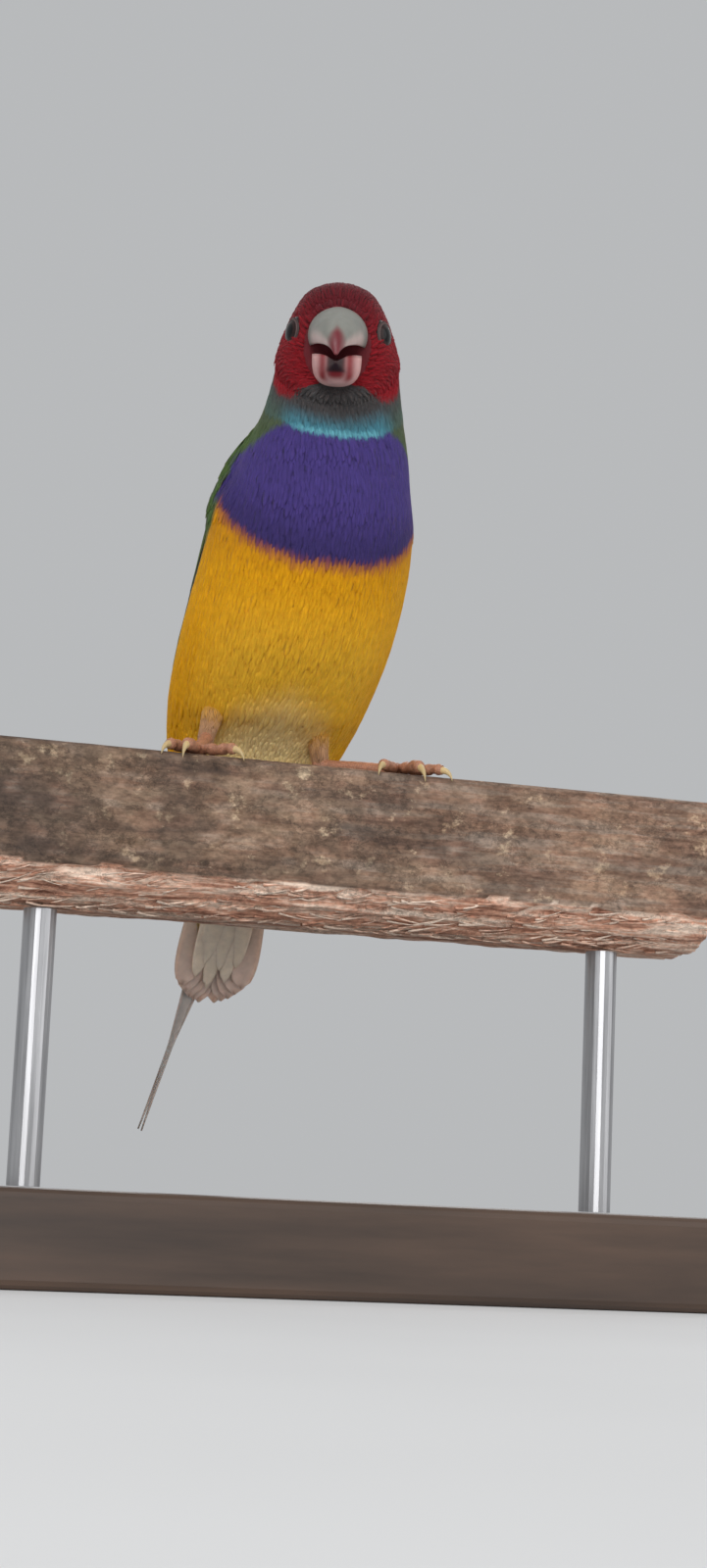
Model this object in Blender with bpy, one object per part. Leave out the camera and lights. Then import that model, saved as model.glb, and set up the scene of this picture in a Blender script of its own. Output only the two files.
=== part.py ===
"""Gouldian finch, a still life-size model, gripping a cut length of batten that a plain stand holds up.

Sizes are in millimetres and angles in degrees. MM turns them into Blender's metres as each mesh is made.
The bird faces -Y with its head turned to its own right, +Z is up, and the origin is under the base's middle.
"""

import math

import bmesh
import bpy
import numpy as np
from mathutils import Matrix, Vector

MM = 0.001
GAP = 0.3
FEATHER = 0.5

# Stand: a flat base and two short rods under the perch. The tail's tip stays clear of the base.
BASE_SIZE = (112.0, 78.0, 12.0)
BASE_ROUND = 1.2
ROD_RADIUS = 2.2
ROD_REACH = 40.0
TAIL_DROP = 50.0
TAIL_CLEAR = 8.0
PERCH_TOP = BASE_SIZE[2] + TAIL_CLEAR + TAIL_DROP

# Perch: a weathered batten with its lower front edge split away.
PERCH_LENGTH = 106.0
PERCH_DEPTH = 18.0
PERCH_HEIGHT = 21.2
PERCH_ROUND = 1.1
SPLIT_HEIGHT = 4.3
SPLIT_DEPTH = 6.0
PERCH_SLICES = 26

# The bird's own zero is on the perch's top, in the plane of its body.
BIRD_PLACE = Vector((-6.0, -7.0, PERCH_TOP))

# Body rings from the tail's root to the neck: back line y z, belly line y z, half width,
# share of the depth from the belly where the ring is widest, sideways lean.
BODY_RINGS = (
    (28.4, -19.0, 24.8, -20.5, 4.4, 0.50, -2.5),
    (26.8, -11.5, 18.6, -14.5, 6.2, 0.50, -2.4),
    (25.2, -3.5, 12.4, -7.2, 8.9, 0.50, -2.2),
    (23.0, 5.0, 9.0, 2.3, 11.9, 0.50, -1.9),
    (20.2, 14.0, 1.0, 8.6, 13.9, 0.50, -1.4),
    (17.0, 23.0, -6.6, 16.0, 14.6, 0.50, -0.5),
    (13.6, 32.0, -11.2, 25.0, 14.4, 0.50, 0.5),
    (10.2, 40.0, -13.2, 34.0, 13.5, 0.50, 1.1),
    (6.8, 47.0, -12.8, 41.6, 11.9, 0.50, 1.6),
    (3.9, 54.0, -11.6, 46.8, 10.1, 0.50, 2.2),
)
# Head rings in the head's own frame, along the bill and up from the mouth's line.
HEAD_RINGS = (
    (-10.6, 1.0, 5.8, -7.4, 8.9, 0.50, 2.5),
    (-9.7, 5.4, 5.5, -6.6, 8.9, 0.48, 2.5),
    (-6.3, 8.2, 5.2, -6.1, 8.5, 0.46, 2.5),
    (-1.6, 8.9, 4.9, -5.8, 7.5, 0.46, 2.5),
    (2.4, 7.7, 4.7, -5.5, 6.0, 0.47, 2.5),
    (4.6, 5.6, 4.6, -5.2, 4.5, 0.48, 2.5),
)
HEAD_PLACE = (-8.0, 61.1)
PLACE_ABOVE_MOUTH = 2.6
HEAD_DOWN = 17.0
HEAD_TURN = 17.0
NECK_AXIS_Y = -3.0
TURN_FROM, TURN_TO = 7.0, 10.5

# Where thin cuts part the body: the ring numbers at the vent, the neck's foot and the head.
VENT_RING = 2.6
NECK_RING = 8.3
HEAD_RING = 9.9
BILL_RING = 15.0

EYE_RING = 13.3
EYE_ANGLE = 75.5
EYE_RADIUS = 2.3
EYE_DEPTH = 1.75
LID_RADIUS = 2.1
LID_THICK = 0.36

BILL_BASE = 4.6
UPPER_LENGTH = 10.4
UPPER_HEIGHT = 5.5
UPPER_HALF_WIDTH = 4.1
UPPER_TIP_DROP = 1.4
UPPER_TUCK = 24.0
LOWER_LENGTH = 8.8
LOWER_DEPTH = 5.1
LOWER_HALF_WIDTH = 3.4
LOWER_SQUARENESS = 0.78
BILL_OPEN = 15.0
NOSTRIL_RADIUS = 0.42


def material(name, colour, roughness, metallic=0.0):
    made = bpy.data.materials.new(name)
    made.use_nodes = True
    shader = made.node_tree.nodes["Principled BSDF"]
    shader.inputs["Base Color"].default_value = (*colour, 1.0)
    shader.inputs["Roughness"].default_value = roughness
    shader.inputs["Metallic"].default_value = metallic
    made.diffuse_color = (*colour, 1.0)
    return made


def clear_scene():
    for old in list(bpy.data.objects):
        bpy.data.objects.remove(old)


def solid(name, points, faces, look):
    """A closed mesh object from points in millimetres, its faces turned outwards."""
    mesh = bpy.data.meshes.new(name)
    mesh.from_pydata([tuple(Vector(p) * MM) for p in points], [], faces)
    form = bmesh.new()
    form.from_mesh(mesh)
    bmesh.ops.recalc_face_normals(form, faces=form.faces)
    form.to_mesh(mesh)
    form.free()
    mesh.shade_smooth()
    mesh.set_sharp_from_angle(angle=math.radians(40))
    mesh.materials.append(look)
    made = bpy.data.objects.new(name, mesh)
    bpy.context.scene.collection.objects.link(made)
    return made


def lofted(name, rings, look):
    """A skin over rings of equal length, closed by a flat cap at each end."""
    count = len(rings[0])
    points = [p for ring in rings for p in ring]
    faces = [tuple(range(count))]
    for i in range(len(rings) - 1):
        for j in range(count):
            k = (j + 1) % count
            low, high = i * count, (i + 1) * count
            faces.append((low + j, low + k, high + k, high + j))
    faces.append(tuple(range((len(rings) - 1) * count, len(rings) * count)))
    return solid(name, points, faces, look)


def taken_shape(target):
    """Puts the target's modifiers into its mesh."""
    graph = bpy.context.evaluated_depsgraph_get()
    mesh = bpy.data.meshes.new_from_object(target.evaluated_get(graph))
    old = target.data
    target.modifiers.clear()
    target.data = mesh
    bpy.data.meshes.remove(old)


def largest_shell(target):
    """Drops every shell of the target's mesh but the one with the most faces."""
    form = bmesh.new()
    form.from_mesh(target.data)
    left = set(form.faces)
    shells = []
    while left:
        shell = {left.pop()}
        edge = list(shell)
        while edge:
            face = edge.pop()
            near = {f for e in face.edges for f in e.link_faces} & left
            left -= near
            shell |= near
            edge += near
        shells.append(shell)
    shells.sort(key=len)
    for shell in shells[:-1]:
        bmesh.ops.delete(form, geom=list(shell), context="FACES")
    form.to_mesh(target.data)
    form.free()


def joined(target, others):
    """One closed body of the target and the others, which are removed."""
    group = bpy.data.collections.new(target.name + "_pieces")
    for other in others:
        group.objects.link(other)
    join = target.modifiers.new("join", "BOOLEAN")
    join.operation = "UNION"
    join.operand_type = "COLLECTION"
    join.collection = group
    join.solver = "MANIFOLD"
    taken_shape(target)
    for other in others:
        bpy.data.objects.remove(other)
    bpy.data.collections.remove(group)
    largest_shell(target)
    return target


def cut(target, cutter):
    """Takes the cutter's space out of the target and removes the cutter."""
    bite = target.modifiers.new("cut", "BOOLEAN")
    bite.operation = "DIFFERENCE"
    bite.object = cutter
    bite.solver = "EXACT"
    taken_shape(target)
    bpy.data.objects.remove(cutter)
    largest_shell(target)
    return target


def through(rows, t):
    """The smooth curve through the rows, at row number t."""
    rows = np.asarray(rows, float)
    last = len(rows) - 1
    i = int(min(max(math.floor(t), 0), last - 1))
    u = t - i
    before = rows[i - 1] if i else 2 * rows[0] - rows[1]
    after = rows[i + 2] if i + 2 <= last else 2 * rows[last] - rows[last - 1]
    a, b = rows[i], rows[i + 1]
    return 0.5 * (
        2 * a
        + (b - before) * u
        + (2 * before - 5 * a + 4 * b - after) * u * u
        + (3 * a - before - 3 * b + after) * u**3
    )


def eased(value, low, high):
    share = min(max((value - low) / (high - low), 0.0), 1.0)
    return share * share * (3 - 2 * share)


def head_point(along, up):
    """y and z of a point in the head's middle plane, before the head's turn."""
    down = math.radians(HEAD_DOWN)
    rise = up - PLACE_ABOVE_MOUTH
    y = HEAD_PLACE[0] - along * math.cos(down) - rise * math.sin(down)
    z = HEAD_PLACE[1] - along * math.sin(down) + rise * math.cos(down)
    return y, z


def all_rings():
    rows = list(BODY_RINGS)
    for back_a, back_u, belly_a, belly_u, half, share, lean in HEAD_RINGS:
        rows.append((*head_point(back_a, back_u), *head_point(belly_a, belly_u), half, share, lean))
    return rows


RINGS = all_rings()


def turned(point, share, lean):
    """Turns a point with the head, about the neck, and leans it sideways. The result is in the world."""
    angle = math.radians(-HEAD_TURN) * share
    x, y, z = point[0], point[1] - NECK_AXIS_Y, point[2]
    across = x * math.cos(angle) - y * math.sin(angle)
    ahead = x * math.sin(angle) + y * math.cos(angle)
    return Vector((across + lean, ahead + NECK_AXIS_Y, z)) + BIRD_PLACE


def body_point(t, angle, out=0.0):
    """A point of the body's surface: ring number t, angle in radians from the back's middle line
    towards the bird's left, and height out from the surface."""
    back_y, back_z, belly_y, belly_z, half, share, lean = through(RINGS, t)
    back, belly = np.array((back_y, back_z)), np.array((belly_y, belly_z))
    middle = belly + (back - belly) * share
    reach = (back if math.cos(angle) > 0 else belly) - middle
    y, z = middle + reach * abs(math.cos(angle))
    place = turned((half * math.sin(angle), y, z), eased(t, TURN_FROM, TURN_TO), lean)
    return place + body_normal(t, angle) * out if out else place


def body_normal(t, angle):
    step = 0.02
    along = body_point(t + step, angle) - body_point(t - step, angle)
    round_ = body_point(t, angle + step) - body_point(t, angle - step)
    return along.cross(round_).normalized()


def ring_points(t, count, out=0.0):
    return [body_point(t, 2 * math.pi * j / count, out) for j in range(count)]


def body_length(name, low, high, rings, count, look):
    steps = np.linspace(low, high, rings)
    return lofted(name, [ring_points(t, count) for t in steps], look)


def step_of(t):
    """Ring numbers that the gap between two cut faces takes up, where the rings stand furthest apart."""
    near = min((body_point(t + 0.1, a) - body_point(t - 0.1, a)).length for a in (0.0, math.pi))
    return GAP * 0.2 / near


def head_space(along, up, across):
    """A point given along the bill, up from the mouth and across, in the world."""
    y, z = head_point(along, up)
    return turned((across, y, z), 1.0, HEAD_RINGS[-1][-1])


# Torso, neck and head


def make_torso(look):
    return body_length("torso", VENT_RING + step_of(VENT_RING), NECK_RING, 13, 24, look)


def make_neck(look):
    return body_length("neck", NECK_RING + step_of(NECK_RING), HEAD_RING, 6, 26, look)


def ball(name, centre, radius, look, segments=18, rings=10):
    form = bmesh.new()
    bmesh.ops.create_uvsphere(form, u_segments=segments, v_segments=rings, radius=radius * MM)
    mesh = bpy.data.meshes.new(name)
    bmesh.ops.translate(form, verts=form.verts, vec=centre * MM)
    form.to_mesh(mesh)
    form.free()
    mesh.shade_smooth()
    mesh.materials.append(look)
    made = bpy.data.objects.new(name, mesh)
    bpy.context.scene.collection.objects.link(made)
    return made


def eye_frame(side):
    angle = side * math.radians(EYE_ANGLE)
    place = body_point(EYE_RING, angle)
    return place, body_normal(EYE_RING, angle)


def lid_ring(name, side, look):
    place, out = eye_frame(side)
    turn = out.to_track_quat("Z", "Y")
    rounds, across = 16, 6
    rings = []
    for i in range(rounds):
        around = 2 * math.pi * i / rounds
        ring = []
        for j in range(across):
            about = 2 * math.pi * j / across
            reach = LID_RADIUS + LID_THICK * math.cos(about)
            local = (reach * math.cos(around), reach * math.sin(around), LID_THICK * math.sin(about))
            ring.append(place + turn @ Vector(local))
        rings.append(ring)
    points = [p for ring in rings for p in ring]
    faces = []
    for i in range(rounds):
        for j in range(across):
            k, n = (i + 1) % rounds, (j + 1) % across
            faces.append((i * across + j, k * across + j, k * across + n, i * across + n))
    return solid(name, points, faces, look)


def make_head(look):
    head = body_length("head", HEAD_RING + step_of(HEAD_RING), BILL_RING, 13, 28, look)
    joined(head, [lid_ring(f"lid_{i}", side, look) for i, side in enumerate((-1, 1))])
    for side in (-1, 1):
        place, out = eye_frame(side)
        cut(head, ball("socket", place - out * EYE_DEPTH, EYE_RADIUS + GAP, look, 18, 10))
    return head


def make_eyes(look):
    for side, word in ((-1, "right"), (1, "left")):
        place, out = eye_frame(side)
        ball("eye_" + word, place - out * EYE_DEPTH, EYE_RADIUS, look)


# Bill


def bill_ring(along, half, top, low, hollow, tuck=0.0, square=1.0):
    """One section of a mandible: an arch drawn in by tuck at its edges, and the hollow inside it."""
    arch = 8
    start = math.radians(tuck)
    ring = []
    for j in range(arch + 1):
        a = -start + (math.pi + 2 * start) * j / arch
        rise = (math.sin(a) + math.sin(start)) / (1 + math.sin(start))
        width = math.copysign(abs(math.cos(a)) ** square, math.cos(a))
        ring.append((along, low + (top - low) * max(rise, 0.0) ** square, half * width))
    for share, deep in ((-0.62, 0.8), (0.0, 1.0), (0.62, 0.8)):
        ring.append((along, low + (top - low) * hollow * deep, half * share))
    return [head_space(*p) for p in ring]


BILL_STEPS = (0.0, 0.16, 0.32, 0.48, 0.64, 0.78, 0.9, 0.97, 1.0)


def make_upper_bill(look):
    rings = []
    for u in BILL_STEPS:
        along = BILL_BASE + GAP + u * (UPPER_LENGTH - GAP)
        low = 0.15 - UPPER_TIP_DROP * u**2.2
        top = low + 0.3 + (UPPER_HEIGHT - 0.45) * (1 - u**1.75) ** 0.85
        half = 0.22 + (UPPER_HALF_WIDTH - 0.22) * (1 - u**1.6) ** 0.9
        rings.append(bill_ring(along, half, top, low, 0.3, tuck=UPPER_TUCK))
    bill = lofted("bill_upper", rings, look)
    for side in (-1, 1):
        hole = [head_space(BILL_BASE + 1.3, 3.3, side * 2.1), head_space(BILL_BASE + 2.2, 4.4, side * 4.4)]
        cut(bill, tube("nostril", hole, [NOSTRIL_RADIUS] * 2, 8, look))
    return bill


def make_lower_bill(look):
    rings = []
    for u in BILL_STEPS:
        reach = u * (LOWER_LENGTH - GAP)
        drop = reach * math.tan(math.radians(BILL_OPEN))
        low = -0.15 - GAP - drop
        deep = low - 0.3 - (LOWER_DEPTH - 0.75) * (1 - u**1.8) ** 0.85
        half = 0.22 + (LOWER_HALF_WIDTH - 0.22) * (1 - u**1.6) ** 0.9
        rings.append(bill_ring(BILL_BASE + GAP + reach, half, deep, low, 0.42, square=LOWER_SQUARENESS))
    return lofted("bill_lower", rings, look)


# Tubes, for the legs, toes, claws and rods


def tube(name, path, radii, sides, look):
    """A round tube along the path, square to it at each point, with flat ends."""
    path = [Vector(p) for p in path]
    rings = []
    reference = Vector((0.31, 0.17, 0.93)).normalized()
    for i, place in enumerate(path):
        ahead = (path[min(i + 1, len(path) - 1)] - path[max(i - 1, 0)]).normalized()
        across = ahead.cross(reference).normalized()
        up = across.cross(ahead)
        rings.append(
            [
                place + (across * math.cos(a) + up * math.sin(a)) * radii[i]
                for a in (2 * math.pi * j / sides for j in range(sides))
            ]
        )
    return lofted(name, rings, look)


def smooth_path(points, steps):
    """Points along the smooth curve through the given ones."""
    last = len(points) - 1
    return [Vector(through(points, last * i / steps)) for i in range(steps + 1)]


# Legs. Each foot's place is where its toes meet; the left leg reaches out along the perch.
FOOT_PLACES = {"right": Vector((-14.4, -2.2, 1.25)), "left": Vector((14.2, -1.6, 1.25))}
ANKLES = {"right": Vector((-11.6, 5.0, 4.4)), "left": Vector((5.6, 6.8, 2.4))}
THIGH_ROOTS = {"right": Vector((-8.4, 7.0, 15.4)), "left": Vector((4.2, 7.0, 14.2))}
THIGH_RADII = (3.2, 3.0, 2.1, 1.35)
TARSUS_RADIUS = 0.85
TOE_RADIUS = 0.78
FOOT_RADIUS = 1.15
# Each toe: its length, its claw's length and its knuckles' rise. Headings turn outwards from straight ahead.
TOES = {
    "outer": (7.6, 3.2, 0.5),
    "middle": (8.6, 3.6, 0.5),
    "inner": (7.2, 3.4, 0.5),
    "hind": (6.6, 4.2, 0.05),
}
TOE_HEADINGS = {
    "right": {"outer": 44.0, "middle": 23.0, "inner": -30.0, "hind": -176.0},
    "left": {"outer": 36.0, "middle": 4.0, "inner": -34.0, "hind": -178.0},
}


def in_world(point):
    return Vector(point) + BIRD_PLACE


def make_thigh(word, look):
    root, ankle = THIGH_ROOTS[word], ANKLES[word]
    bend = root.lerp(ankle, 0.5) + Vector((0.0, -0.5, 0.0))
    path = [in_world(p) for p in smooth_path([root, bend, ankle], 7)]
    radii = [float(through([(r,) for r in THIGH_RADII], 3 * i / 7)[0]) for i in range(8)]
    tube("thigh_" + word, path, radii, 14, look)
    return path, radii


def pocket(path, radii, sides, look):
    """The space that a tube takes, with the gap all round it."""
    first = (path[0] - path[1]).normalized() * GAP
    last = (path[-1] - path[-2]).normalized() * GAP
    wider = [path[0] + first, *path[1:-1], path[-1] + last]
    return tube("pocket", wider, [r + GAP for r in radii], sides, look)


def make_tarsus(word, torso, thigh, look):
    ankle, foot = in_world(ANKLES[word]), in_world(FOOT_PLACES[word])
    steps = [ankle.lerp(foot, share) for share in (0.0, 0.15, 0.5, 0.85, 1.0)]
    swell = [TARSUS_RADIUS * share for share in (1.3, 1.15, 0.95, 1.0, 1.15)]
    tarsus = tube("tarsus_" + word, steps, swell, 10, look)
    cut(tarsus, pocket(*thigh, 14, look))
    cut(tarsus, ball("pocket", foot, FOOT_RADIUS + GAP, look, 12, 8))
    cut(tarsus, pocket(*toe_tube(word, "hind"), 8, look))
    cut(torso, pocket(steps, swell, 10, look))


def toe_path(word, toe):
    """Knuckle points of one toe, lying on the perch's top and bent over its edge, then its claw's points."""
    side = 1 if word == "left" else -1
    length, claw, rise = TOES[toe]
    angle = math.radians(TOE_HEADINGS[word][toe] * side)
    ahead = Vector((math.sin(angle), -math.cos(angle), 0.0))
    start = FOOT_PLACES[word]
    lie = TOE_RADIUS + GAP
    front = -PERCH_DEPTH / 2
    points = [start.copy()]
    for share, bend in ((0.28, 1.0), (0.55, 0.3), (0.8, 0.5), (1.0, 0.0)):
        place = start + ahead * (length * share)
        points.append(Vector((place.x, place.y, lie + rise * bend)))
    if toe != "hind":
        over = points[-1].y - (front - lie)
        if over < 0:
            points[-1] += Vector((0.0, -over, over))
    return points, ahead, claw


def toe_tube(word, toe):
    points, _, _ = toe_path(word, toe)
    path = [in_world(p) for p in smooth_path(points, 8)]
    return path, [TOE_RADIUS * s for s in (1.1, 0.92, 1.02, 0.88, 0.98, 0.84, 0.9, 0.76, 0.62)]


def make_foot(word, look):
    toes = [tube("toe", *toe_tube(word, toe), 8, look) for toe in TOES]
    return joined(ball("foot_" + word, in_world(FOOT_PLACES[word]), FOOT_RADIUS, look, 12, 8), toes)


def make_claws(word, look):
    for toe in TOES:
        points, _, length = toe_path(word, toe)
        start = points[-1]
        heading = (points[-1] - points[-2]).normalized()
        down = Vector((0.0, 0.0, -1.0))
        root = start + heading * GAP
        path = []
        for i in range(6):
            u = i / 5
            path.append(root + heading * (length * (u - 0.38 * u * u)) + down * (length * 0.42 * u * u))
        if toe == "hind":
            path = [Vector((p.x, p.y, max(p.z, 0.35 + GAP))) for p in path]
        radii = [0.42 * (1 - 0.86 * (i / 5) ** 1.3) for i in range(6)]
        tube(f"claw_{word}_{toe}", [in_world(p) for p in path], radii, 7, look)


# Wings. Each vane is a thin plate on the body's form, from its root to its tip in rings and angles.
VANE_STEPS = (0.0, 0.34, 0.68, 0.91, 1.0)
VANE_SHARES = (0.72, 0.98, 0.96, 0.66, 0.24)
LONG_STEPS = (0.0, 0.17, 0.34, 0.5, 0.66, 0.8, 0.93, 1.0)
LONG_SHARES = (0.72, 0.9, 0.98, 1.0, 0.96, 0.86, 0.6, 0.24)


def wing_vane(side, root, tip, half, lift, tilt, look, steps=VANE_STEPS, shares=VANE_SHARES):
    """A vane that follows the body's form. Its outer edge is raised by tilt and its inner one lowered."""
    points = []
    for u, share in zip(steps, shares):
        t = root[0] + (tip[0] - root[0]) * u
        angle = math.radians(root[1] + (tip[1] - root[1]) * u)
        step = 0.05
        span = (body_point(t, angle + step) - body_point(t, angle - step)).length / (2 * step)
        low = max(lift * (0.55 + 0.45 * eased(u, 0.0, 0.35)), 0.38)
        for across, raised in ((1, tilt), (0, 0.14), (-1, -tilt)):
            reach = side * (angle + across * half * share / span)
            height = max(low + raised * (0.4 + 0.6 * share), 0.36)
            points.append(body_point(t, reach, height))
            thick = FEATHER * (1.0 if u < 0.9 else 0.8)
            points.append(body_point(t, reach, height + thick))
    return vane_solid("vane", points, len(steps), look)


def vane_solid(name, points, rows, look):
    """A plate from rows of three low and three high points, split into triangles alike on both faces."""
    def at(row, column, high):
        return row * 6 + column * 2 + high

    faces = []
    for row in range(rows - 1):
        for column in range(2):
            for high in (0, 1):
                a, b = at(row, column, high), at(row, column + 1, high)
                c, d = at(row + 1, column + 1, high), at(row + 1, column, high)
                faces += [(a, b, c), (a, c, d)]
        for column in (0, 2):
            a, b = at(row, column, 0), at(row, column, 1)
            c, d = at(row + 1, column, 1), at(row + 1, column, 0)
            faces += [(a, b, c), (a, c, d)]
    for row in (0, rows - 1):
        for column in range(2):
            a, b = at(row, column, 0), at(row, column, 1)
            c, d = at(row, column + 1, 1), at(row, column + 1, 0)
            faces += [(a, b, c), (a, c, d)]
    return solid(name, points, faces, look)


# Each tier: number of vanes, root and tip of its outermost, root and tip of its innermost,
# half width of the outermost and innermost, height above the body, tilt.
WING_TIERS = (
    ("primary", 6, (6.2, 77), (0.6, 53), (5.6, 60), (2.5, 30), 2.3, 2.6, 0.56, 0.14),
    ("secondary", 5, (6.3, 69), (3.55, 46), (6.6, 31), (2.9, 14), 3.0, 3.4, 0.95, 0.22),
    ("greater_covert", 5, (7.1, 74), (5.35, 66), (7.3, 33), (4.9, 21), 2.8, 3.2, 1.3, 0.2),
    ("median_covert", 5, (7.8, 74), (6.45, 69), (7.8, 37), (6.1, 27), 2.5, 3.0, 1.65, 0.18),
)
PAD_RINGS = (5.7, 8.15)
PAD_ANGLES = (26.0, 84.0)
PAD_THICK = 1.5


def wing_pad(name, side, look):
    """The folded arm under the coverts, a lens that lies on the body's form."""
    rows, columns = 8, 6
    low, high = [], []
    for i in range(rows):
        for j in range(columns):
            u, v = i / (rows - 1), j / (columns - 1)
            t = PAD_RINGS[0] + (PAD_RINGS[1] - PAD_RINGS[0]) * u
            pinch = 0.72 + 0.28 * math.sin(math.pi * (0.15 + 0.75 * u))
            middle = sum(PAD_ANGLES) / 2
            angle = math.radians(middle + (PAD_ANGLES[1] - PAD_ANGLES[0]) * (v - 0.5) * pinch)
            bulge = (math.sin(math.pi * u) * math.sin(math.pi * v)) ** 0.5 if 0 < u < 1 and 0 < v < 1 else 0.0
            low.append(body_point(t, side * angle, 0.4))
            high.append(body_point(t, side * angle, 0.4 + 0.35 + PAD_THICK * bulge))
    faces = []
    count = rows * columns
    for i in range(rows - 1):
        for j in range(columns - 1):
            a, b = i * columns + j, i * columns + j + 1
            c, d = b + columns, a + columns
            faces += [(a, b, c), (a, c, d), (a + count, b + count, c + count), (a + count, c + count, d + count)]
    rim = [j for j in range(columns)]
    rim += [i * columns + columns - 1 for i in range(1, rows)]
    rim += [(rows - 1) * columns + j for j in range(columns - 2, -1, -1)]
    rim += [i * columns for i in range(rows - 2, 0, -1)]
    for a, b in zip(rim, rim[1:] + rim[:1]):
        faces += [(a, b, b + count), (a, b + count, a + count)]
    return solid(name, low + high, faces, look)


def make_wing(word, look):
    side = 1 if word == "left" else -1
    vanes = []
    for tier, count, root_out, tip_out, root_in, tip_in, half_out, half_in, lift, tilt in WING_TIERS:
        form = (LONG_STEPS, LONG_SHARES) if tier == "primary" else (VANE_STEPS, VANE_SHARES)
        for i in range(count):
            u = i / (count - 1)
            root = [a + (b - a) * u for a, b in zip(root_out, root_in)]
            tip = [a + (b - a) * u for a, b in zip(tip_out, tip_in)]
            half = half_out + (half_in - half_out) * u
            vanes.append(wing_vane(side, root, tip, half, lift, tilt, look, *form))
    return joined(wing_pad("wing_" + word, side, look), vanes)


# Tail. Its vanes run down the tail's axis, with the long middle pair over the others.
TAIL_RING = 0.0
RECTRIX_LENGTHS = (34.0, 11.8, 11.3, 10.7, 9.8, 8.6)
RECTRIX_HALF = (1.9, 2.5, 2.6, 2.6, 2.5, 2.4)
TAIL_FAN = 2.0
PIN_SWAY = 8.5


def tail_frame():
    """Start of the tail's axis at its root's end, the way it runs, and the way its back faces."""
    end = body_point(TAIL_RING, 0.0).lerp(body_point(TAIL_RING, math.pi), 0.5)
    inner = body_point(1.0, 0.0).lerp(body_point(1.0, math.pi), 0.5)
    along = (end - inner).normalized()
    back = Vector((1.0, 0.0, 0.0)).cross(along)
    if back.y < 0:
        back = -back
    return end, along, back.normalized()


def tail_vane(name, offset, heading, start, length, half, height, look, shares=VANE_SHARES, sway=0.0):
    end, along, back = tail_frame()
    across = Vector((1.0, 0.0, 0.0))
    lean = math.radians(heading)
    points = []
    for u, share in zip(VANE_STEPS, shares):
        reach = start + (length - start) * u
        middle = end + along * reach * math.cos(lean)
        middle += across * (offset + (reach - start) * math.sin(lean) + sway * u * u)
        middle += back * height
        for side, raised in ((1, -0.12), (0, 0.12), (-1, -0.12)):
            place = middle + across * (side * half * share) + back * raised
            points.append(place - back * FEATHER / 2)
            points.append(place + back * FEATHER / 2)
    return vane_solid(name, points, len(VANE_STEPS), look)


def make_tail(look):
    root = body_length("tail", 0.02, VENT_RING, 8, 22, look)
    vanes = []
    pin_shares = (1.0, 0.9, 0.42, 0.2, 0.12)
    for pair, (length, half) in enumerate(zip(RECTRIX_LENGTHS, RECTRIX_HALF)):
        for side in (-1, 1):
            height = 1.1 - 0.36 * pair + (0.12 if side > 0 else -0.06)
            if pair == 0:
                vanes.append(
                    tail_vane("vane", side * 0.6, -PIN_SWAY - side * 1.2, -7.0, length, half, height, look, pin_shares)
                )
                continue
            offset = side * (0.9 + 0.42 * pair)
            heading = side * TAIL_FAN * pair / 2
            vanes.append(tail_vane("vane", offset, heading, -7.0, length, half, height, look))
    return joined(root, vanes)


# Perch and stand


def perch_section(x, draw):
    """One slice of the batten, clockwise from its top front edge, a little uneven."""
    half, bottom = PERCH_DEPTH / 2, -PERCH_HEIGHT
    ripple = 0.25 * math.sin(x * 0.21) + 0.15 * math.sin(x * 0.53 + 1.0)
    outline = (
        (-half, -PERCH_ROUND),
        (-half + PERCH_ROUND * 0.35, -PERCH_ROUND * 0.35),
        (-half + PERCH_ROUND, 0.0),
        (half - PERCH_ROUND, 0.0),
        (half - PERCH_ROUND * 0.35, -PERCH_ROUND * 0.35),
        (half, -PERCH_ROUND),
        (half, -PERCH_HEIGHT / 2),
        (half, bottom + PERCH_ROUND),
        (half - PERCH_ROUND, bottom),
        (-half + SPLIT_DEPTH + ripple, bottom),
        (-half + SPLIT_DEPTH * 0.4, bottom + SPLIT_HEIGHT * 0.45 + ripple * 0.6),
        (-half, bottom + SPLIT_HEIGHT + ripple),
        (-half, -PERCH_HEIGHT / 2),
    )
    rough = draw.uniform(-0.12, 0.12, len(outline))
    points = []
    for (y, z), out in zip(outline, rough):
        fixed = z > -PERCH_ROUND * 0.5 or z <= bottom
        points.append((x, y + (0.0 if fixed else math.copysign(abs(out), -y)), z))
    return points


def make_perch(look):
    draw = np.random.default_rng(7)
    middle = Vector((0.0, BIRD_PLACE.y, PERCH_TOP))
    rings = []
    for i in range(PERCH_SLICES + 1):
        x = PERCH_LENGTH * (i / PERCH_SLICES - 0.5)
        rings.append([middle + Vector(p) for p in perch_section(x, draw)])
    return lofted("perch", rings, look)


def make_stand(base_look, rod_look):
    form = bmesh.new()
    bmesh.ops.create_cube(form, size=1.0)
    bmesh.ops.scale(form, vec=Vector(BASE_SIZE) * MM, verts=form.verts)
    bmesh.ops.translate(form, vec=Vector((0.0, 0.0, BASE_SIZE[2] / 2)) * MM, verts=form.verts)
    mesh = bpy.data.meshes.new("stand_base")
    form.to_mesh(mesh)
    form.free()
    mesh.materials.append(base_look)
    base = bpy.data.objects.new("stand_base", mesh)
    bpy.context.scene.collection.objects.link(base)
    bevel = base.modifiers.new("edges", "BEVEL")
    bevel.width = BASE_ROUND * MM
    bevel.segments = 3
    low = BASE_SIZE[2] + GAP
    high = PERCH_TOP - PERCH_HEIGHT - GAP
    for word, x in (("right", -ROD_REACH), ("left", ROD_REACH)):
        ends = [Vector((x, BIRD_PLACE.y, z)) for z in (low, high)]
        tube("stand_rod_" + word, ends, [ROD_RADIUS] * 2, 20, rod_look)


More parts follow.
